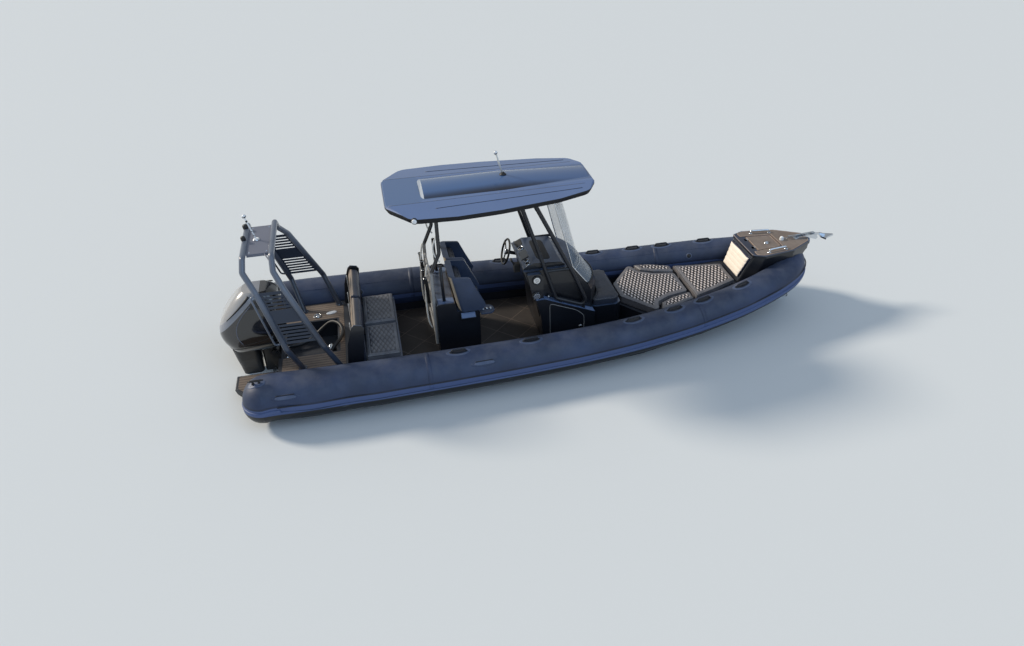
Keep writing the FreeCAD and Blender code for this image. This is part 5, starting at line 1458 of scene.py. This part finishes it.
# %% Frame behind the seats: rod holders, rails, posts and loops
holder = ((0.021, 0.0), (0.021, 0.34), (0.027, 0.362), (0.027, 0.368), (0.017, 0.368), (0.017, 0.30))
rail_side = ((-1.452, 0.46), (-1.500, 0.52), (-1.512, 0.80), (-1.500, 1.10), (-1.474, 1.34), (-1.452, 1.40))
loop_side = ((-1.300, 1.86), (-1.340, 1.80), (-1.380, 1.68), (-1.352, 1.54), (-1.300, 1.48))
post_side = ((-1.300, 1.40), (-1.296, 1.20), (-1.290, 0.918))


def in_side_plane(y, points):
    return [(x, y, z) for x, z in points]


rear_parts = []
for y in (-0.350, -0.120, 0.120, 0.350):
    low, high = Vector((-1.474, y, 0.880)), Vector((-1.492, y, 1.245))
    rear_parts.append(turned(holder, low, high - low, "black_plastic", 20))
    rear_parts.append(tube(ring_path(high, high - low, 0.026, 24), 0.0035, "bright_metal", closed=True, sides=8))
rear_parts += [tube(smooth_line(in_side_plane(y, rail_side), 24), 0.012, "rail_white") for y in (-0.300, 0.300)]
for y in (-0.42, 0.42):
    rear_parts.append(tube(in_side_plane(y, post_side), 0.021, "frame_paint"))
    rear_parts.append(tube(smooth_line(in_side_plane(y, loop_side), 20), 0.010, "rail_white", sides=8))
print("frame fittings:", len(rear_parts))

# %% Tray, shelf and steps of the leaning post, and straps behind the bench
tray = round_outline([(-0.852, -0.500), (-0.852, -0.300), (-0.700, -0.300), (-0.655, -0.360), (-0.655, -0.450),
                      (-0.700, -0.500)], 0.04)
rear_parts.append(flat_sheet([[(p.x, p.y) for p in tray]], 0.690, 0.022, "shell_vinyl", bevel=0.004, radius=0.004))
rear_parts += [turned(((0.020, 0.0), (0.020, 0.008), (0.012, 0.012)), (x, -0.400, 0.712), UP, "bright_metal", 18)
               for x in (-0.800, -0.750, -0.700)]
# The shelf and the steps are thin sheets of painted sky light on level faces of the leaning post.
shelf = [(-1.372, -0.478), (-1.172, -0.478), (-1.172, -0.350), (-1.372, -0.350)]
rear_parts += both(flat_sheet([shelf], 0.9152, 0.004, "ledge_paint", radius=0.02))
step = [Vector((x, y, z + lift)) for lift in (-0.002, 0.003) for x, y, z in (
    (-1.094, 0.506, 0.7555), (-0.918, 0.506, 0.7555), (-0.918, 0.560, 0.7102), (-1.094, 0.560, 0.7102))]
step_faces = [(0, 1, 2, 3), (4, 5, 6, 7), (0, 1, 5, 4), (1, 2, 6, 5), (2, 3, 7, 6), (3, 0, 4, 7)]
rear_parts += both(solid_mesh("step", step, step_faces, "ledge_paint", smooth=False))
add_piece("helm_frame_fittings", rear_parts)
strap_half, strap_length, straps = 0.016, 0.500, []
for y in (0.150, 0.620):
    low, high = y - strap_half, y + strap_half
    outline = [(-strap_length, low), (-strap_length, high), (0, high), (0, low)]
    straps += both(flat_sheet([outline], 0.0, 0.008, "rail_white", radius=0.008))
for strap in straps:
    strap.transform(Matrix.Translation((-2.4920, 0, 0.900)) @ Matrix.Rotation(math.radians(-90), 4, "Y"))
add_piece("bench_straps", straps)
print("straps:", len(straps))

# %% [markdown]
# ## Roof
# The roof carries a small round lamp at its aft starboard corner, a navy line of painted shade in a fine crease
# outboard of the barrel on each side, a paler line of painted highlight where the flat middle meets the slope and
# along the aft rim, and the aerial's foot, rod and ball.

# %% Roof trim
roof_tree = tree_of("roof")
lamp_spot = laid(roof_tree, (-1.66, -1.05, 2.232), (0.32, 1, 0))
lamp_axis = Vector((-0.32, -1, 0)).normalized()
lamp_rim = ((0.040, -0.006), (0.040, 0.006), (0.034, 0.012))
lamp_lens = ((0.030, 0.006), (0.030, 0.016), (0.022, 0.022), (0.008, 0.025))
roof_parts = [turned(lamp_rim, lamp_spot, lamp_axis, "black_plastic"),
              turned(lamp_lens, lamp_spot, lamp_axis, "lamp_plastic")]
# The first row is painted shade in the fine crease, the second a painted highlight where the flat middle meets the
# slope.
for start_x, pitch, half, narrowing, lift, radius, finish in (
        (-1.30, 0.06, 0.585, 0.062, -0.0005, 0.0050, "band_navy"),
        (-1.84, 0.08, 0.402, 0.020, -0.0010, 0.0040, "moulding_edge")):
    for side in (1, -1):
        line = [laid(roof_tree, (x, side * (half - narrowing * (x + 1.3)), 2.6), DOWN, lift)
                for x in (start_x + pitch * k for k in range(31))]
        roof_parts.append(tube(line, radius, finish, sides=8))
# Painted highlight: a pale grey line along the aft rim, where its edge catches the light.
rim_highlight = [laid(roof_tree, (-1.95, y, 2.270), FORWARD, -0.0006) for y in (-0.39 + 0.06 * k for k in range(14))]
roof_parts.append(tube(rim_highlight, 0.0050, "plate_grey", sides=8))
aerial_foot = laid(roof_tree, (-0.390, 0, 2.6), DOWN)
aerial_top, aerial_axis = (-0.467, 0, 2.655), Vector((-0.077, 0, 0.290)).normalized()
roof_parts += [
    turned(((0.044, -0.004), (0.044, 0.006), (0.030, 0.012), (0.020, 0.030)), aerial_foot, UP, "black_plastic"),
    tube([(-0.390, 0, 2.362), (-0.428, 0, 2.507), (-0.463, 0, 2.640)], 0.0105, "rail_white"),
    turned(((0.012, -0.022), (0.021, -0.014), (0.0245, -0.004), (0.0245, 0.001)), aerial_top, aerial_axis,
           "black_plastic", 20),
    turned(((0.001, -0.0255), (0.018, -0.0182), (0.0250, -0.002), (0.0240, 0.008), (0.0180, 0.0182), (0.001, 0.0254)),
           aerial_top, aerial_axis, "lamp_plastic", 24)]
add_piece("roof_fittings", roof_parts)
print("roof fittings:", len(roof_parts))

# %% [markdown]
# ## Engine cowl
# A dark joint runs round the cowl where its upper half lifts off. A pale line of painted highlight follows the curved
# edge of the glossy side panel, a diagonal black line of painted shade marks a recess across the aft shoulder over the
# grey facet, and air slots cross the front. Each line starts as a few points seen from the side or from before, and is
# dropped onto the cowl's surface.

# %% Lines on the cowl
cowl_tree = tree_of("engine_cowl")


def cowl_line(points, toward, radius, finish, sink, sides=8):
    """A line of points dropped onto the cowl."""
    return tube([laid(cowl_tree, p, toward, -sink) for p in points], radius, finish, sides=sides)


joint_loop = []
for k in range(72):
    angle = 2 * math.pi * k / 72
    outward = Vector((math.cos(angle), math.sin(angle), 0))
    start = Vector((-3.70, 0, 0.520 + 0.03 * math.cos(angle))) + outward * 0.9
    joint_loop.append(laid(cowl_tree, start, -outward, -0.001))
cowl_parts = [tube(joint_loop, 0.0055, "black_plastic", closed=True, sides=8)]
for side in (1, -1):
    inward = (0, -side, 0)
    # Painted highlight along the panel's curved edge, and painted shade in the recess across the aft shoulder.
    panel_edge_highlight = [(1.76 * (z - 0.74) ** 2 - 3.903, side, z) for z in (1.100 - 0.025 * k for k in range(22))]
    recess_shade_line = [(-3.680 - 0.315 * t, side, 1.205 - 0.275 * t) for t in (k / 24 for k in range(25))]
    recess_widths = [0.019 - 0.012 * k / 24 for k in range(25)]
    low_edge = [(-3.880, side, 0.560), (-3.700, side, 0.580), (-3.500, side, 0.640), (-3.360, side, 0.720)]
    cowl_parts += [cowl_line(panel_edge_highlight, inward, 0.0050, "plate_grey", 0.0010),
                   cowl_line(recess_shade_line, inward, recess_widths, "black_plastic", 0.004, sides=10),
                   cowl_line(smooth_line(low_edge, 40), inward, 0.0040, "black_plastic", 0.001)]
for z in (0.860 + 0.034 * k for k in range(5)):
    air_slot = smooth_line([(-3.2, y, z) for y in (-0.12, -0.05, 0.05, 0.12)], 16)
    cowl_parts.append(cowl_line(air_slot, AFT, 0.006, "black_plastic", 0.002))
add_piece("cowl_trim", cowl_parts, "engine_steer")
print("cowl lines:", len(cowl_parts))

# %% [markdown]
# ## Bow fittings
# The hatch in the bow lid has a latch, and a short chain runs from the anchor's shank to a shackle. The chain's links
# are a Geometry Nodes tree: a ring stretched into a link is set at even steps along a line, and every second one is
# turned by a quarter.

# %% Chain
def chain_tree():
    """A Geometry Nodes tree that lays chain links along a path."""
    tree, sockets = new_tree("chain along a path", {"Geometry": "Geometry", "Pitch": "Float", "Width": "Float",
                                                    "Wire": "Float", "Finish": "Material"})
    entry, leave, path, points, ring, round_wire, sweep, stretch, put, turn, index, quarter, reach, real, paint_it = (
        tree.nodes.new(kind) for kind in (
            "NodeGroupInput", "NodeGroupOutput", "GeometryNodeMeshToCurve", "GeometryNodeCurveToPoints",
            "GeometryNodeCurvePrimitiveCircle", "GeometryNodeCurvePrimitiveCircle", "GeometryNodeCurveToMesh",
            "GeometryNodeTransform", "GeometryNodeInstanceOnPoints", "GeometryNodeRotateInstances",
            "GeometryNodeInputIndex", "ShaderNodeMath", "ShaderNodeCombineXYZ", "GeometryNodeRealizeInstances",
            "GeometryNodeSetMaterial"))
    points.mode = "LENGTH"
    ring.inputs["Resolution"].default_value, round_wire.inputs["Resolution"].default_value = 16, 6
    quarter.operation = "MULTIPLY"
    quarter.inputs[1].default_value = math.pi / 2
    stretch.inputs["Scale"].default_value = (0.62, 1.0, 1.0)
    stretch.inputs["Rotation"].default_value = (math.pi / 2, 0, 0)
    wire(tree, ((entry, "Geometry", path, 0), (path, 0, points, "Curve"), (entry, "Pitch", points, "Length"),
                (entry, "Width", ring, "Radius"), (entry, "Wire", round_wire, "Radius"), (ring, 0, sweep, "Curve"),
                (round_wire, 0, sweep, "Profile Curve"), (sweep, 0, stretch, "Geometry"),
                (points, "Points", put, "Points"), (points, "Rotation", put, "Rotation"),
                (stretch, 0, put, "Instance"), (index, 0, quarter, 0), (quarter, 0, reach, "Z"),
                (put, 0, turn, "Instances"), (reach, 0, turn, "Rotation"), (turn, 0, real, 0),
                (real, 0, paint_it, "Geometry"), (entry, "Finish", paint_it, "Material"), (paint_it, 0, leave, 0)))
    return tree, sockets


chain_line = smooth_line([(3.545, 0.020, 0.950), (3.580, 0.022, 0.950), (3.640, 0.026, 0.950), (3.690, 0.024, 0.952)],
                         30)
chain = grown(chain_line, [(k, k + 1) for k in range(29)], *chain_tree(), Pitch=0.017, Width=0.0115, Wire=0.0024,
              Finish=finishes["bright_metal"])
print("chain:", len(chain.polygons), "faces")

# %% Bow lid fittings
cleat_feet = [(x, s * y) for s in (1, -1) for x, y in ((3.190, 0.300), (3.452, 0.262))]
bow_parts = [chain]
bow_parts += [bolts([((x, y, 0.9445), UP)], 3, 0.017, (0.008, 0.008, 0.006)) for x, y in cleat_feet]
bow_parts += [turned(((0.026, 0.0), (0.026, 0.003), (0.018, 0.005)), (x, y, 0.9432), UP, "bright_metal")
              for x, y in cleat_feet]
lid_edge = with_port([(2.945, 0.325), (3.096, 0.392), (3.540, 0.322), (3.866, 0.124), (3.903, 0.052)])
lid_band = with_port([(3.050, 0.226), (2.999, 0.230), (2.999, 0.332), (2.950, 0.316)])
bow_parts.append(tube([(2.9445, y, 0.9370) for y in (-0.318, -0.1, 0.1, 0.318)], 0.0060, "foam_edge", sides=8))
bow_parts.append(tube([Vector((p.x, p.y, 0.9388)) for p in round_outline(lid_edge, 0.05)], 0.0050, "moulding_edge",
                      closed=True, sides=8))
bow_parts.append(flat_sheet([lid_band], bow_level, 0.0030, "band_navy", radius=0.010))
add_piece("bow_fittings", bow_parts)
hatch_parts = [turned(((0.034, 0.0), (0.034, 0.005), (0.026, 0.009), (0.006, 0.010)), (3.270, -0.035, 0.9437), UP,
                      "bright_metal"),
               tube([(3.240, -0.035, 0.9560), (3.270, -0.035, 0.9575), (3.312, -0.035, 0.9550)], 0.006, "bright_metal",
                    sides=8)]
hatch_parts += edged_foam(with_port([(3.076, 0.199), (3.414, 0.162)]), foam_thick, 0.022)
add_piece("bow_hatch_fittings", hatch_parts, "bow_hatch")
bow_ring = ring_path((3.700, 0.0, 0.022), (0.25, 1, 0.1), 0.030, 28)
add_piece("bow_ring", [tube(bow_ring, 0.0055, "black_plastic", closed=True)])
print("bow fittings:", len(bow_parts) + len(hatch_parts))

# %% Finishes on the CAD nodes
slot_of = {part["node"]: part["material_slot"] for part in frame["record"]["subparts"]}
slot_of.update(sole_panel="sole_foam", seat_shells="shell_vinyl", stern_light_mast="lamp_plastic",
               arch_hoop_aft="arch_paint", arch_hoop_fwd="arch_paint", arch_grab_rails="arch_paint",
               arch_side_plates="plate_slate", rear_frame="rear_paint", rigging_hose="hose_rubber")
for name, node in nodes.items():
    node.data.materials.clear()
    node.data.materials.append(finishes.get(slot_of[name], finishes["moulding"]))
print("dressed", len(nodes), "nodes")
